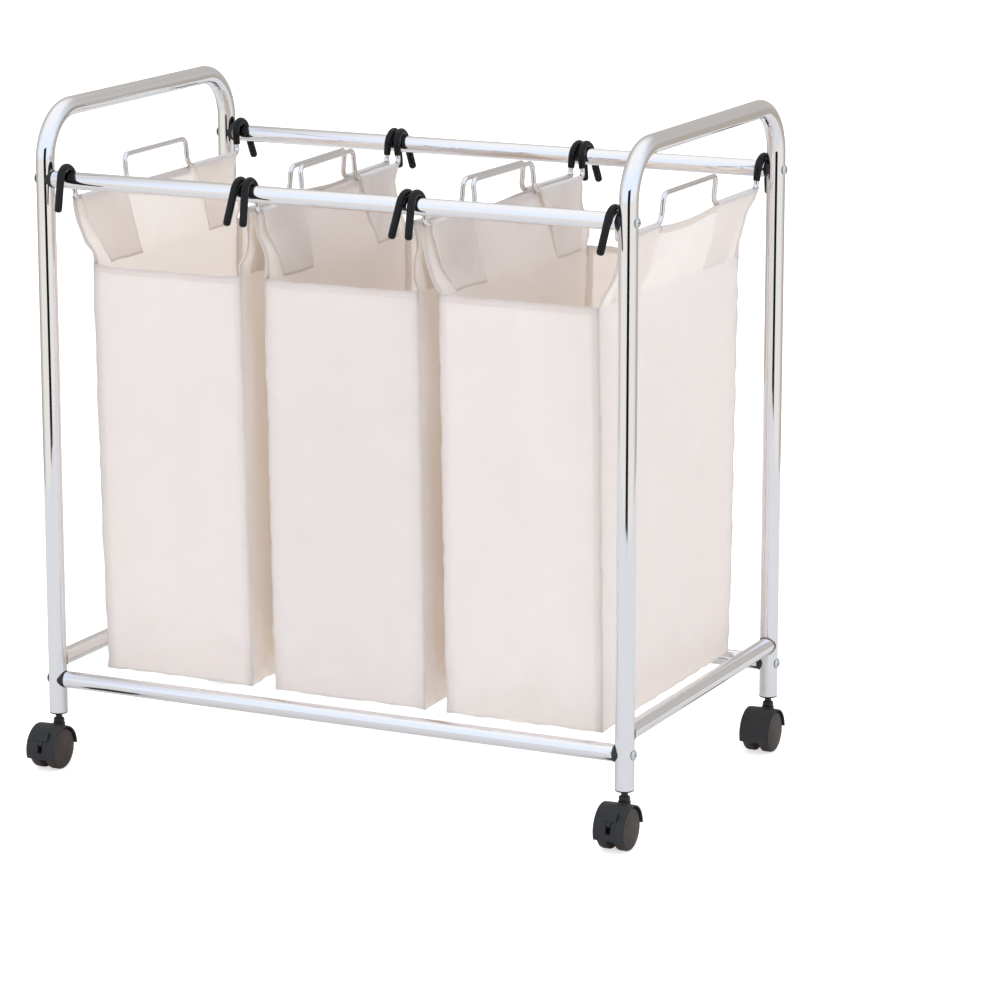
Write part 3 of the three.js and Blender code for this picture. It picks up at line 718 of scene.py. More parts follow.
def castor_axle(name, axle):
    """A plain pin with bevelled ends, through the hood's boss and into both wheels."""
    low, high = box(name + "_axle")
    half, radius = (high[0] - low[0]) / 2, 2 * MM
    profile = [(1e-5, -half), (radius - 0.4 * MM, -half), (radius, 0.4 * MM - half),
               (radius, half - 0.4 * MM), (radius - 0.4 * MM, half), (1e-5, half)]
    pin = turned("fine_" + name + "_axle", profile, axle, "x", 32)
    dress(pin, ZINC, name, "zinc_screw", name + "_axle")


for end, e in ENDS:
    for side, s in SIDES:
        name = f"castor_{end}_{side}"
        axle, stem = middle(name + "_axle"), middle(name + "_socket")[:2]
        castor_socket(name, stem)
        castor_stem(name, stem)
        castor_hood(name, axle, end == "front")
        castor_axle(name, axle)
        for wheel_side, w in SIDES:
            castor_wheel(name, wheel_side, w, axle)
        if end == "front":
            castor_brake(name, axle)


# ---------------------------------------------------------------- hanging wires

WIRE_R = 3 * MM
COAT_R = 4.5 * MM
HOOK_R = RAIL_R + COAT_R + 0.3 * MM
HOOK_LEG = 38 * MM
HOOK_SPLAY = math.radians(20)
COAT_END = TOP_RAIL_Z - 12 * MM
RUN_Z = TOP_RAIL_Z - 23.5 * MM
BAR_Z = RUN_Z + 35 * MM
LEAN = math.tan(math.radians(5.5))
INNER_LEG = POST_Y - HOOK_R

HANDLE_LENGTH = 151 * MM
HANDLE_SHIFT = -4 * MM
BAGS = ("bag_1", "bag_2", "bag_3")

# The wires hang a little askew: x of each left and right hook on the front and the back rail.
HOOKS = {
    "bag_1": {"left": (-343.5, -352.0), "right": (-112.3, -135.8)},
    "bag_2": {"left": (-100.3, -126.2), "right": (100.3, 114.7)},
    "bag_3": {"left": (112.3, 124.3), "right": (354.5, 355.5)},
}


def across(front, back):
    """x at any y from the frame's middle, on a line through the two rails' hooks."""
    return lambda y: (front + back) / 2 + (back - front) * y / (2 * POST_Y)


class Wire:
    """One hanging wire: hooks over both top rails, straight runs and a handle between them."""

    def __init__(self, bag, side, s):
        self.bag, self.side, self.s = bag, side, s
        front, back = HOOKS[bag][side]
        self.line = across(front * MM, back * MM)
        self.slope = (back - front) * MM / (2 * POST_Y)
        self.front = HANDLE_SHIFT - HANDLE_LENGTH / 2
        self.back = HANDLE_SHIFT + HANDLE_LENGTH / 2

    def x(self, y, z):
        return self.line(y) + self.s * LEAN * (z - TOP_RAIL_Z - HOOK_R)

    def place(self, flat):
        """Flat (y, z) points, y from the frame's middle, set in the wire's leaning plane."""
        y, z = flat.T
        return np.column_stack([self.x(y, z), y + FRAME_Y, z])

    def middle_path(self):
        """Down the front inner leg, along the runs and over the handle, to the back inner leg."""
        corners = [(-INNER_LEG, COAT_END + 2 * MM), (-INNER_LEG, RUN_Z), (self.front, RUN_Z),
                   (self.front, BAR_Z), (self.back, BAR_Z), (self.back, RUN_Z),
                   (INNER_LEG, RUN_Z), (INNER_LEG, COAT_END + 2 * MM)]
        return rounded(corners, np.array([8, 13, 8, 8, 13, 8]) * MM, steps=10)

    def hook_path(self, e):
        """From the splayed tip over the rail and down the inner leg; e is -1 at the front."""
        a = np.linspace(math.pi - HOOK_SPLAY, 0, 25)
        arc = np.column_stack([HOOK_R * np.cos(a), TOP_RAIL_Z + HOOK_R * np.sin(a)])
        tip = arc[0] - HOOK_LEG * np.array([math.sin(HOOK_SPLAY), math.cos(HOOK_SPLAY)])
        leg = tip + np.linspace(0, 1, 8)[:-1, None] * (arc[0] - tip)
        low = np.array([[HOOK_R, COAT_END]])
        flat = np.concatenate([leg, arc, low])
        flat[:, 0] = e * (POST_Y - flat[:, 0])
        return flat


def hanging_wire(wire):
    """The chrome wire and the two black dipped coats over its hooks."""
    normal = np.array([1, -wire.slope, -wire.s * LEAN])
    normal /= np.linalg.norm(normal)
    node = f"{wire.bag}_wire_{wire.side}"
    path = wire.place(wire.middle_path())
    rings = capped(rod(path, WIRE_R, normal, 24))
    piece = skin("fine_" + node, rings, wrap_columns=True)
    dress(piece, WIRE_CHROME, wire.bag, "chrome_wire", node)
    for end, e in ENDS:
        path = wire.place(wire.hook_path(e))
        swell = np.full(len(path), COAT_R)
        swell[-1] *= 0.93
        coat = capped(rod(path, swell, normal, 28), round_start=3.6 * MM, round_end=0.5 * MM)
        coat = skin(f"{node}_coat_{end}", coat, wrap_columns=True, sharp=60)
        dress(coat, VINYL, wire.bag, "black_plastic")


WIRES = {bag: {side: Wire(bag, side, s) for side, s in SIDES} for bag in BAGS}
for bag in BAGS:
    for side, _ in SIDES:
        hanging_wire(WIRES[bag][side])


# ---------------------------------------------------------------- bags

CELL = 14 * MM
FINER = 3
CLOTH = 0.9 * MM
# Half of each side panel's top edge that hangs free of the wire's flaps, half of the hem along it
# and that hem's height, and how far the pressed fold down the middle stands out.
FREE_HALF, HEMMED_HALF, TOP_HEM = 86 * MM, 84 * MM, 9 * MM
MIDDLE_FOLD = 4.5 * MM
HALF_WIDTH = 99 * MM
BAG_TOP = RUN_Z - 81 * MM
BAG_BOTTOM = BOTTOM_RAIL_Z + 7 * MM
TOP_DEPTH, BOTTOM_DEPTH = INNER_LEG - 15.5 * MM, INNER_LEG - 30.5 * MM
CORNER_Y = INNER_LEG + 1.2 * MM
WIRE_BEND = 8 * MM
SLEEVE_R = WIRE_R + 0.6 * MM
SWAY = {"bag_1": 0, "bag_2": 0, "bag_3": -10 * MM}
SIDE_NAMES = ("left", "right")
WIDE = round(2 * HALF_WIDTH / CELL)
DEEP = round(2 * TOP_DEPTH / CELL)
TALL = round((BAG_TOP - BAG_BOTTOM) / CELL)
FLARE = round((RUN_Z - BAG_TOP) / CELL)
LEVELS = np.concatenate([np.linspace(BAG_BOTTOM, BAG_TOP, TALL + 1),
                         np.linspace(BAG_TOP, RUN_Z, FLARE + 1)[1:]])
FRAMES = 30
MOST_SAG = 8 * MM
HEM = 8 * MM
SEAM_BAND = 8.5 * MM
BACK_RISE = {"bag_1": 2 * MM, "bag_2": 3 * MM, "bag_3": 14 * MM}


def half_depth(z):
    """Half the depth of a side panel at a height: a taper, then out to the wire's corners."""
    body = BOTTOM_DEPTH + (TOP_DEPTH - BOTTOM_DEPTH) * (z - BAG_BOTTOM) / (BAG_TOP - BAG_BOTTOM)
    flare = TOP_DEPTH + (CORNER_Y - TOP_DEPTH) * (z - BAG_TOP) / (RUN_Z - BAG_TOP)
    return np.where(z > BAG_TOP, flare, body)


def wire_rise(y):
    """How far the wire stands over its straight run near the two hooks."""
    bend = np.clip(np.abs(y) - (INNER_LEG - WIRE_BEND), 0, WIRE_BEND * 0.8)
    return WIRE_BEND - np.sqrt(WIRE_BEND ** 2 - bend ** 2)


class Panel:
    """One cut piece of the bag: a grid of places (rows, columns, 3) and the same grid laid flat."""

    def __init__(self, places, flat):
        self.places, self.flat = places, flat


def bag_centre(bag):
    """The bag's middle line, as a function of y from the frame's middle."""
    wires = WIRES[bag].values()
    front = sum(wire.line(-POST_Y) for wire in wires) / 2 + SWAY[bag]
    back = sum(wire.line(POST_Y) for wire in wires) / 2
    return across(front, back)


def bag_panels(bag):
    """The five panels as first pinned: sides front to back, the others left to right."""
    wires = WIRES[bag]
    centre = bag_centre(bag)
    panels = {}
    z = LEVELS[:, None]
    across_y = np.linspace(-1, 1, DEEP + 1)[None]
    for side, s in SIDES:
        y = half_depth(z) * across_y
        body = centre(y) + s * HALF_WIDTH
        top_y = CORNER_Y * across_y
        run = wires[side].x(top_y, RUN_Z + wire_rise(top_y)) + s * SLEEVE_R
        climb = np.clip((z - BAG_TOP) / (RUN_Z - BAG_TOP), 0, 1)
        height = z + climb ** 3 * wire_rise(top_y)
        places = np.stack([body + (run - body) * climb, y + FRAME_Y, height + 0 * y], -1)
        panels[side] = Panel(places, np.stack([y, z + 0 * y], -1))
    z = LEVELS[:TALL + 1, None]
    across_x = np.linspace(-1, 1, WIDE + 1)[None]
    for end, e in ENDS:
        y = e * half_depth(z) + 0 * across_x
        x = centre(y) + HALF_WIDTH * across_x
        places = np.stack([x, y + FRAME_Y, z + 0 * x], -1)
        panels[end] = Panel(places, np.stack([HALF_WIDTH * across_x + 0 * x, z + 0 * x], -1))
    y = BOTTOM_DEPTH * np.linspace(-1, 1, DEEP + 1)[:, None]
    x = centre(y) + HALF_WIDTH * across_x
    dip = 3 * MM * np.outer(1 - np.linspace(-1, 1, DEEP + 1) ** 2, 1 - across_x[0] ** 2)
    panels["floor"] = Panel(np.stack([x, y + FRAME_Y + 0 * x, BAG_BOTTOM - dip], -1),
                            np.stack([HALF_WIDTH * across_x + 0 * x, y + 0 * x], -1))
    return panels


def hang(bag, panels):
    """Cloth simulation: the panels sewn into one cloth and hung from the wires' runs.

    The floor's corners are held where the folded bag keeps them, and no point ends more than
    MOST_SAG from where it started: a move d becomes MOST_SAG * tanh(d / MOST_SAG).
    """
    names = list(panels)
    points = np.concatenate([panels[n].places.reshape(-1, 3) for n in names])
    faces, start = [], 0
    for name in names:
        rows, columns = panels[name].places.shape[:2]
        faces.append(grid_faces(rows, columns, start=start))
        start += rows * columns
    keys = np.round(points / (0.02 * MM)).astype(np.int64)
    _, first, joined = np.unique(keys, axis=0, return_index=True, return_inverse=True)
    joined = joined.ravel()
    sewn, faces = points[first], joined[np.concatenate(faces)]
    noise = np.random.default_rng(BAGS.index(bag) + 5).normal(0, 0.5 * MM, sewn.shape)
    along, height = np.concatenate([panels[n].flat.reshape(-1, 2) for n in names]).T
    on_side = np.concatenate([np.full(panels[n].flat[..., 0].size, n in SIDE_NAMES) for n in names])
    top = on_side & (np.abs(height - RUN_Z) < 1e-6)
    corner = on_side & (np.abs(height - BAG_BOTTOM) < 1e-6) & (np.abs(along) > BOTTOM_DEPTH - 1e-6)
    held = top & (np.abs(along - HANDLE_SHIFT) > FREE_HALF)
    pins = np.unique(joined[held | corner])
    noise[np.unique(joined[top])] = 0
    cloth = put_cloth(bag + "_hanging", sewn + noise, faces)
    group = cloth.vertex_groups.new(name="pinned")
    group.add([int(i) for i in pins], 1.0, "REPLACE")
    modifier = cloth.modifiers.new("cloth", "CLOTH")
    settings = modifier.settings
    settings.quality = 8
    settings.mass = 0.012
    settings.tension_stiffness = settings.compression_stiffness = 80
    settings.shear_stiffness = 30
    settings.bending_stiffness = 3
    settings.tension_damping = settings.compression_damping = settings.shear_damping = 15
    settings.air_damping = 3
    settings.vertex_group_mass = "pinned"
    settings.shrink_min = -0.004
    modifier.collision_settings.use_collision = False
    scene = bpy.context.scene
    for frame_number in range(1, FRAMES + 1):
        scene.frame_set(frame_number)
    shown = cloth.evaluated_get(bpy.context.evaluated_depsgraph_get())
    hung = np.empty(len(sewn) * 3, np.float32)
    shown.data.vertices.foreach_get("co", hung)
    scene.frame_set(1)
    bpy.data.objects.remove(cloth, do_unlink=True)
    move = hung.reshape(-1, 3).astype(float) - sewn
    length = np.linalg.norm(move, axis=1, keepdims=True) + 1e-9
    hung = (sewn + move / length * MOST_SAG * np.tanh(length / MOST_SAG))[joined]
    start = 0
    for name in names:
        shape = panels[name].places.shape
        size = shape[0] * shape[1]
        panels[name].places = hung[start:start + size].reshape(shape)
        start += size


def put_cloth(name, points, faces):
    """A bare mesh object, for the cloth simulation to work on."""
    mesh = bpy.data.meshes.new(name)
    mesh.from_pydata(points.tolist(), [], faces.tolist())
    piece = bpy.data.objects.new(name, mesh)
    bpy.context.scene.collection.objects.link(piece)
    return piece


def cubic(count, factor):
    """Weights (fine, count) that carry a row of points through itself by Catmull-Rom curves."""
    t = np.linspace(0, count - 1, (count - 1) * factor + 1)
    base = np.clip(np.floor(t).astype(int), 0, count - 2)
    f = t - base
    weights = (-f + 2 * f ** 2 - f ** 3, 2 - 5 * f ** 2 + 3 * f ** 3,
               f + 4 * f ** 2 - 3 * f ** 3, f ** 3 - f ** 2)
    table = np.zeros((len(t), count + 2))
    for k, weight in enumerate(weights):
        table[np.arange(len(t)), base + k] = weight / 2
    table[:, 1] += 2 * table[:, 0]
    table[:, 2] -= table[:, 0]
    table[:, -2] += 2 * table[:, -1]
    table[:, -3] -= table[:, -1]
    return table[:, 1:-1]


def refine(grid, factor=FINER):
    """A grid of points made finer both ways, along smooth curves through its own points."""
    rows, columns = grid.shape[:2]
    return np.einsum("ai,bj,ijk->abk", cubic(rows, factor), cubic(columns, factor), grid)


def normals(grid):
    """Unit normals of a grid of places."""
    along, up = np.gradient(grid, axis=1), np.gradient(grid, axis=0)
    normal = np.cross(along, up)
    return normal / np.linalg.norm(normal, axis=-1, keepdims=True)


def ripple(points, seed, size, count=24):
    """A sum of sine waves with random headings and lengths about size, over 2-D points."""
    random = np.random.default_rng(seed)
    total = np.zeros(points.shape[:-1])
    for _ in range(count):
        heading = random.uniform(0, math.pi)
        length = size * random.uniform(0.6, 1.6)
        phase = random.uniform(0, 2 * math.pi)
        wave = points @ np.array([math.cos(heading), math.sin(heading)]) * 2 * math.pi / length
        total += np.sin(wave + phase)
    return total / math.sqrt(count / 2)


def edge_fade(flat, reach, top_free=True):
    """0 on a panel's sewn edges, 1 at reach or more from them."""
    from_side = np.minimum(np.abs(flat - flat[:, :1])[..., 0], np.abs(flat - flat[:, -1:])[..., 0])
    from_floor = np.abs(flat - flat[:1])[..., 1]
    near = np.minimum(from_side, from_floor)
    if not top_free:
        near = np.minimum(near, np.abs(flat - flat[-1:])[..., 1])
    t = np.clip(near / reach, 0, 1)
    return t * t * (3 - 2 * t)


def creased(name, panel, seed):
    """Wrinkles added to a fine panel, each a height along its outward normal.

    Soft waves all over, puckers by the seams, a pressed fold down the middle of the front and
    back that ends in slanting folds, and folds that grow towards the floor.
    """
    flat = panel.flat
    out = normals(panel.places) * (-1 if name in ("left", "front") else 1)
    height = flat[..., 1] - BAG_BOTTOM if name != "floor" else 0 * flat[..., 1]
    low = np.exp(-np.clip(height, 0, None) / (95 * MM))
    soft = ripple(flat * [1, 0.35], seed, 90 * MM) * 0.6 * MM
    folds = ripple(flat, seed + 1, 75 * MM, 8)
    folds = np.abs(folds) ** 0.8 * np.sign(folds) * 2.9 * MM * low
    pucker = ripple(flat, seed + 2, 16 * MM, 12) * 0.22 * MM
    free_top = name not in SIDE_NAMES
    fade = edge_fade(flat, 45 * MM, free_top)
    seam = edge_fade(flat, 9 * MM, free_top) * (1 - edge_fade(flat, 34 * MM))
    rise = (soft + folds) * fade + pucker * seam
    if name in ("front", "back"):
        from_middle = np.abs(flat[..., 0] + 3 * MM * np.sin(height / (60 * MM)))
        upper = np.clip((height - 70 * MM) / (70 * MM), 0, 1)
        pressed = MIDDLE_FOLD * np.exp(-from_middle / (34 * MM)) - 1.0 * MM
        rise += upper * pressed * edge_fade(flat, 70 * MM)
        for slant, reach, depth in ((0.55, 26, 2.6), (-0.8, 20, 2.0), (1.5, 18, 1.4)):
            line = flat[..., 0] * slant - height + (95 + 12 * slant) * MM
            rise += depth * MM * np.exp(-np.abs(line) / (reach * MM)) * low * fade
    panel.places = panel.places + out * rise[..., None]


def risen(bag, panel):
    """The floor's back right corner hangs higher, and the cloth near it goes along."""
    x, y, z = np.moveaxis(panel.places, -1, 0)
    y = y - FRAME_Y
    across_x = np.clip((x - bag_centre(bag)(y) + HALF_WIDTH) / (2 * HALF_WIDTH), 0, 1)
    across_y = np.clip((y + BOTTOM_DEPTH) / (2 * BOTTOM_DEPTH), 0, 1)
    low = np.clip(1 - (z - BAG_BOTTOM) / (170 * MM), 0, 1)
    panel.places[..., 2] += BACK_RISE[bag] * across_x * across_y * low


def cloth_piece(name, grids, thickness=CLOTH):
    """Grids of (places, flat) welded into one sheet with flat uv in metres, then given a thickness."""
    points, faces, flats, start = [], [], [], 0
    for places, flat in grids:
        rows, columns = places.shape[:2]
        points.append(places.reshape(-1, 3))
        flats.append(flat.reshape(-1, 2))
        faces.append(grid_faces(rows, columns, start=start))
        start += rows * columns
    points, flats, faces = np.concatenate(points), np.concatenate(flats), np.concatenate(faces)
    mesh = bpy.data.meshes.new(name)
    mesh.vertices.add(len(points))
    mesh.vertices.foreach_set("co", points.astype(np.float32).ravel())
    mesh.loops.add(faces.size)
    mesh.loops.foreach_set("vertex_index", faces.astype(np.int32).ravel())
    mesh.polygons.add(len(faces))
    mesh.polygons.foreach_set("loop_start", np.arange(0, faces.size, 4, dtype=np.int32))
    mesh.update(calc_edges=True)
    layer = mesh.uv_layers.new(name="flat")
    layer.data.foreach_set("uv", flats[faces.ravel()].astype(np.float32).ravel())
    piece = bpy.data.objects.new(name, mesh)
    bpy.context.scene.collection.objects.link(piece)
    tidy_mesh(mesh, 0.01 * MM)
    mesh.shade_smooth()
    if thickness:
        wall = piece.modifiers.new("thickness", "SOLIDIFY")
        wall.thickness, wall.offset = thickness, -1
        wall.use_even_offset = False
    return piece


def sampled(panel, y, z):
    """Places and outward normals on a fine side panel at flat (y, z)."""
    levels = panel.flat[:, 0, 1]
    rows = np.interp(z, levels, np.arange(len(levels)))
    columns = (y / half_depth(z) + 1) / 2 * (panel.places.shape[1] - 1)
    return taken(panel, rows, columns)[:2]


def taken(panel, rows, columns):
    """Places, outward-or-inward normals and flat places at fractional rows and columns."""
    r = np.clip(np.floor(rows).astype(int), 0, panel.places.shape[0] - 2)
    c = np.clip(np.floor(columns).astype(int), 0, panel.places.shape[1] - 2)
    fr, fc = (rows - r)[..., None], (columns - c)[..., None]
    def take(grid):
        low = grid[r, c] * (1 - fc) + grid[r, c + 1] * fc
        high = grid[r + 1, c] * (1 - fc) + grid[r + 1, c + 1] * fc
        return low * (1 - fr) + high * fr
    return take(panel.places), take(normals(panel.places)), take(panel.flat)


def band(panel, sign, rows, columns, steps, proud=0.55 * MM):
    """A strip sewn on a panel: a grid of rows and columns lifted off it, down at its two edges.

    rows and columns are arrays that broadcast together, and steps says where across the strip
    each one lies, from 0 to 1.
    """
    places, out, flat = taken(panel, *np.broadcast_arrays(rows, columns))
    lift = proud * np.clip(np.minimum(steps, 1 - steps) / 0.12, 0.1, 1)
    return places + out * (sign * (lift + 0 * rows + 0 * columns))[..., None], flat


ACROSS = np.array([0, 0.06, 0.13, 0.38, 0.62, 0.87, 0.94, 1.0])


def panel_bands(name, panel):
    """The sewn strips of a panel, and the lines of stitches on them as (row, column) paths."""
    sign = -1 if name in ("left", "front") else 1
    rows_up, columns_up = (n - 1.0 for n in panel.places.shape[:2])
    cell = CELL / FINER
    strips, lines = [], []
    wide = SEAM_BAND / (2 * HALF_WIDTH) * columns_up
    top_row = (BAG_TOP - BAG_BOTTOM) / (LEVELS[1] - LEVELS[0]) * FINER
    up = np.arange(0, rows_up + 0.1)[:, None]
    if name in ("front", "back"):
        for edge, inward in ((0.0, 1), (columns_up, -1)):
            steps = 1 - ACROSS if inward > 0 else ACROSS
            columns = edge + inward * wide * steps[None]
            strips.append(band(panel, sign, up, np.sort(columns), steps[None]))
            lines.append((up[:, 0], edge + inward * wide * 0.82 + 0 * up[:, 0]))
        hem = HEM / cell
        along = np.linspace(0, columns_up, int(columns_up) + 1)[None]
        rows = rows_up - hem * (1 - ACROSS[:, None])
        strips.append(band(panel, sign, rows, along, ACROSS[:, None], 0.7 * MM))
        lines.append((rows_up - hem * 0.86 + 0 * along[0], along[0]))
    elif name in SIDE_NAMES:
        flare = np.arange(top_row, rows_up + 0.1)[:, None]
        hem = HEM * 0.85 / (2 * TOP_DEPTH) * columns_up
        for edge, inward in ((0.0, 1), (columns_up, -1)):
            columns = np.sort(edge + inward * hem * ACROSS[None])
            for face in (sign, -sign):
                strips.append(band(panel, face, flare, columns, ACROSS[None], 0.6 * MM))
            lines.append((flare[:, 0], edge + inward * hem * 0.84 + 0 * flare[:, 0]))
        reach = HEMMED_HALF / CORNER_Y * columns_up / 2
        middle_column = columns_up / 2 * (1 + HANDLE_SHIFT / CORNER_Y)
        along = np.linspace(middle_column - reach, middle_column + reach, 40)[None]
        rows = rows_up - TOP_HEM / ((RUN_Z - BAG_TOP) / FLARE) * FINER * (1 - ACROSS[:, None])
        for face in (sign, -sign):
            strips.append(band(panel, face, rows, along, ACROSS[:, None], 0.6 * MM))
        lines.append((rows[1] + 0 * along[0], along[0]))
    return strips, [(*taken(panel, *np.broadcast_arrays(r, c))[:2], sign) for r, c in lines]


def stitches(name, lines, proud=0.75 * MM, pitch=3.2 * MM, length=2.3 * MM, radius=0.32 * MM):
    """Thread along lines: each stitch is a spindle, its radius r(t) = radius * sin(pi t) ** 0.4."""
    t = np.array([0.0, 0.18, 0.5, 0.82, 1.0])
    turn = np.arange(5) * 2 * math.pi / 5
    spindle = radius * np.sin(math.pi * t) ** 0.4
    local = np.stack([np.repeat((t - 0.5) * length, 5), np.outer(spindle, np.cos(turn)).ravel(),
                      np.outer(spindle, np.sin(turn)).ravel()], -1)
    one = grid_faces(len(t), 5, wrap_columns=True)
    points, faces, count = [], [], 0
    for places, out, sign in lines:
        run = np.concatenate([[0], np.cumsum(np.linalg.norm(np.diff(places, axis=0), axis=1))])
        at = np.arange(pitch, run[-1] - pitch / 2, pitch)
        def along(values):
            return np.stack([np.interp(at, run, values[:, k]) for k in range(3)], -1)
        middle_at, normal = along(places), along(out * sign)
        heading = along(np.gradient(places, axis=0))
        heading /= np.linalg.norm(heading, axis=1, keepdims=True)
        normal /= np.linalg.norm(normal, axis=1, keepdims=True)
        side_way = np.cross(normal, heading)
        basis = np.stack([heading, side_way, normal], 1)
        placed = (middle_at + normal * proud)[:, None] + np.einsum("ak,nkj->naj", local, basis)
        points.append(placed.reshape(-1, 3))
        faces.append((one[None] + count + (np.arange(len(at)) * len(local))[:, None, None])
                     .reshape(-1, 4))
        count += len(at) * len(local)
    return put_mesh(name, np.concatenate(points), np.concatenate(faces))


# Each flap's ends along the wire, and its ends where it is sewn to the panel below.
FLAPS = {"front": ((-193, -90), (-150, -76)), "back": ((82, 193), (98, 158))}


def flap(bag, side, s, end, panel):
    """Over the wire from the panel's top edge, then down inside to a seam on the panel."""
    wire = WIRES[bag][side]
    (top_a, top_b), (low_a, low_b) = np.array(FLAPS[end]) * MM
    u = np.linspace(0, 1, 27)[None]
    turn = np.linspace(0, math.pi, 10)[:, None]
    y = top_a + (top_b - top_a) * u + 0 * turn
    rise = RUN_Z + wire_rise(y)
    over = np.stack([wire.x(y, rise) + s * SLEEVE_R * np.cos(turn), y + FRAME_Y,
                     rise + SLEEVE_R * np.sin(turn)], -1)
    down = np.linspace(0, 1, 22)[1:, None]
    lower_a, lower_b = top_a + (low_a - top_a) * down, top_b + (low_b - top_b) * down
    y2 = lower_a + (lower_b - lower_a) * u
    z2 = RUN_Z - down * (RUN_Z - BAG_TOP + 2 * MM)
    places, out = sampled(panel, y2, z2)
    away = 1.2 * MM + (2 * SLEEVE_R - 1.2 * MM) * (1 - down) ** 1.6
    away = away + 1.6 * MM * np.sin(math.pi * down) * np.abs(2 * u - 1) ** 2
    inward = -out * np.sign((out[..., :1] * s))
    hanging = places + inward * away[..., None]
    grid = np.concatenate([over, hanging])
    length = np.concatenate([SLEEVE_R * turn, SLEEVE_R * math.pi + down * 85 * MM])
    flat = np.stack([np.concatenate([y, y2]), length + 0 * u], -1)
    return grid, flat


def cloth_finish(name, colour, shade, glow, through):
    """Plain weave: crossing threads as bump, slubs and a faint mottle in the colour.

    The thin cloth lets a share of the light through, tinted by the colour glow.
    """
    finish = Finish(name, roughness=0.86)
    finish.set("Sheen Weight", 0.15)
    finish.set("Sheen Roughness", 0.5)
    finish.set("Specular IOR Level", 0.25)
    flat = finish.place("UV")
    across_thread, up_thread, _ = finish.parts(flat)
    pitch = 2 * math.pi / (0.55 * MM)
    warp = (across_thread * pitch).math("SINE")
    weft = (up_thread * pitch).math("SINE")
    slub = finish.noise(finish.scaled(flat, (900.0, 60.0, 1.0)), 1.0, 2.0)
    slub_up = finish.noise(finish.scaled(flat, (60.0, 900.0, 1.0)), 1.0, 2.0)
    mottle = finish.noise(finish.scaled(flat, (14.0, 9.0, 1.0)), 1.0, 3.0).step(0.3, 0.7)
    finish.set("Base Color", finish.blend(mottle * 0.7 + slub * 0.3, colour, shade))
    finish.bump(warp * weft * 0.5 + (slub + slub_up) * 0.8, 0.00012, 0.6)
    finish.let_through(glow, through)
    return finish.material


# The cloth's blue-white colour is partly painted cool light from the front lamp, laid over the cloth's
# own pale cream.
CLOTH_PAINTED_COOL_LIGHT_FINISH = cloth_finish("bag_cloth", (0.895, 0.915, 0.945), (0.88, 0.89, 0.91),
                            (0.998, 0.93, 0.86), 0.60)
# The hems' warmer, darker cream is painted shade of the doubled cloth, put into their colour.
SEAM_PAINTED_SHADE_FINISH = cloth_finish("bag_seam_painted_shade", (0.90, 0.845, 0.80), (0.88, 0.82, 0.77),
                           (0.97, 0.88, 0.80), 0.40)


def thread_finish():
    """Spun white thread: a fine twist as bump and a little colour change along it."""
    finish = Finish("thread", roughness=0.7)
    place = finish.place()
    finish.set("Base Color", finish.blend(finish.noise(place, 90.0, 2.0), (0.90, 0.88, 0.86),
                                          (0.82, 0.78, 0.74)))
    finish.bump(finish.noise(place, 2500.0, 1.0), 0.00005)
    return finish.material


THREAD_FINISH = thread_finish()


def bag_cloth(bag):
    """The whole bag: hung, refined, creased, hemmed and stitched, with its flaps over the wires."""
    panels = bag_panels(bag)
    hang(bag, panels)
    seed = 100 * (BAGS.index(bag) + 1)
    strips, lines = [], []
    for number, (name, panel) in enumerate(panels.items()):
        panel.places, panel.flat = refine(panel.places), refine(panel.flat)
        creased(name, panel, seed + 10 * number)
        risen(bag, panel)
        more_strips, more_lines = panel_bands(name, panel)
        strips += more_strips
        lines += more_lines
    grids = [(panel.places, panel.flat) for panel in panels.values()]
    # The cloth and its flaps carry the finish with painted cool light.
    cloth = cloth_piece(f"{bag}_cloth", grids)
    dress(cloth, CLOTH_PAINTED_COOL_LIGHT_FINISH, bag, "bag_cloth", bag)
    # The hem strips carry the seam finish's painted shade.
    hems = cloth_piece(f"{bag}_hems", strips, 0.4 * MM)
    dress(hems, SEAM_PAINTED_SHADE_FINISH, bag, "bag_cloth")
    thread = dress(stitches(f"{bag}_stitches", lines), THREAD_FINISH, bag, "bag_cloth")
    side_area = sum((half_depth(a) + half_depth(b)) * (b - a) for a, b in zip(LEVELS, LEVELS[1:]))
    area = 2 * float(side_area) + 4 * HALF_WIDTH * (BAG_TOP - BAG_BOTTOM + BOTTOM_DEPTH)
    2 * (HALF_WIDTH + BAG_TOP)
    2 * (BAG_TOP + BOTTOM_DEPTH)
    for side, s in SIDES:
        for end, _ in ENDS:
            piece = cloth_piece(f"{bag}_flap_{side}_{end}", [flap(bag, side, s, end, panels[side])])
            dress(piece, CLOTH_PAINTED_COOL_LIGHT_FINISH, bag, "bag_cloth")


for bag in BAGS:
    bag_cloth(bag)


# ---------------------------------------------------------------- camera, light and floor

# The camera's place before the frame's shift, its turn about Z and its tilt down in radians, its
# sensor's width in mm and its focal length as a share of that width.
CAMERA_PLACE = np.array([2169.6, -4312.9, 1437.0]) * MM
CAMERA_TURN, CAMERA_DROP = 0.445, 0.228
SENSOR_WIDTH, LENS_SHARE = 36, 4.1402


def camera():
    """Long lens from the front right, a little above the top."""
    turn, drop = CAMERA_TURN, CAMERA_DROP
    heading = np.array([-math.sin(turn) * math.cos(drop), math.cos(turn) * math.cos(drop),
                        -math.sin(drop)])
    data = bpy.data.cameras.new("camera")
    data.sensor_width, data.lens = SENSOR_WIDTH, SENSOR_WIDTH * LENS_SHARE
    data.clip_start, data.clip_end = 0.1, 60
    eye = bpy.data.objects.new("camera", data)
    bpy.context.scene.collection.objects.link(eye)
    eye.location = CAMERA_PLACE + np.array([0, FRAME_Y, 0])
    eye.rotation_euler = Vector(heading).to_track_quat("-Z", "Y").to_euler()
    bpy.context.scene.camera = eye


TOWARDS_CAMERA = (math.sin(CAMERA_TURN), -math.cos(CAMERA_TURN))
NEAR_FLOOR = 1.95


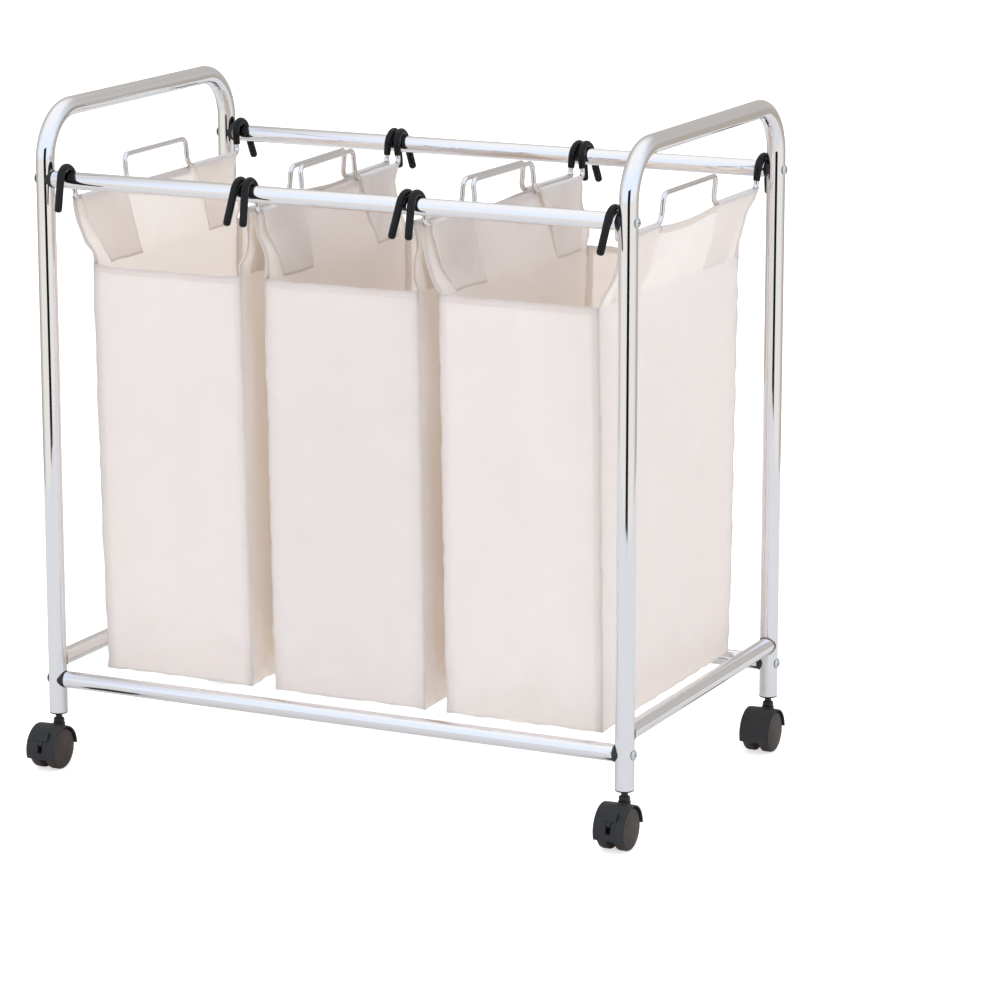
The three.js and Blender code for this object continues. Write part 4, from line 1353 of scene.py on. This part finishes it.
def studio():
    """A white studio: soft light in front and above, a duller wall behind, and a dark gap where
    the camera stands. The camera itself sees plain white."""
    world = bpy.data.worlds.new("studio")
    bpy.context.scene.world = world
    sky = Shading(world)
    x, y, z = sky.parts(sky.place("Generated"))
    level = (1.0001 - z * z).power(0.5)
    forward = (x * TOWARDS_CAMERA[0] + y * TOWARDS_CAMERA[1]) / level
    front = sky.blend(forward.step(-0.75, 0.35), (0.60, 0.57, 0.54), (1.00, 1.09, 1.26))
    low_front = sky.blend(forward.step(-0.6, 0.3), (0.52, 0.47, 0.42), (0.97, 0.94, 0.90))
    sides = sky.blend(z.step(-0.12, 0.10), low_front, front)
    above = sky.blend(z.step(0.45, 0.95), sides, (1.12, 1.13, 1.15))
    gap = forward.greater(0.968) * z.greater(-0.30) * (1 - z.greater(0.32))
    seen = sky.add("ShaderNodeLightPath")
    mirrored = sky.add("ShaderNodeLightPath", output="Is Glossy Ray")
    sky.plug(sky.nodes["Background"].inputs["Strength"], 1.23 - mirrored * 0.29)
    lit = sky.blend(gap, above, (0.01, 0.01, 0.01))
    sky.plug(sky.nodes["Background"].inputs["Color"], sky.blend(seen, lit, (1.0, 1.0, 1.0)))
    bpy.context.scene.view_settings.view_transform = "Standard"


def floor():
    """A pale floor: a round part that lights and mirrors in the object, and the rest round it."""
    finish = Finish("floor", base_color=(0.68, 0.67, 0.655), roughness=0.8)
    finish.set("Emission Strength", 1.0)
    mirrored = finish.add("ShaderNodeLightPath", output="Is Glossy Ray")
    finish.set("Emission Color", finish.blend(mirrored, (0.62, 0.62, 0.63), (0.0, 0.0, 0.0)))
    turn = np.linspace(0, 2 * math.pi, 129)[:-1]
    ring = np.stack([np.cos(turn), np.sin(turn), 0 * turn], -1)
    for name, inner, outer in (("floor_near", 0.0, NEAR_FLOOR), ("floor_far", NEAR_FLOOR, 40.0)):
        points = np.concatenate([ring * inner, ring * outer])
        piece = put_mesh(name, points, grid_faces(2, len(turn), wrap_columns=True), smooth=False)
        tidy_mesh(piece.data, 0.1 * MM)
        piece.data.materials.append(finish.material)
    piece.visible_diffuse = piece.visible_glossy = False
    piece.visible_transmission = piece.visible_shadow = False


camera()
studio()
floor()
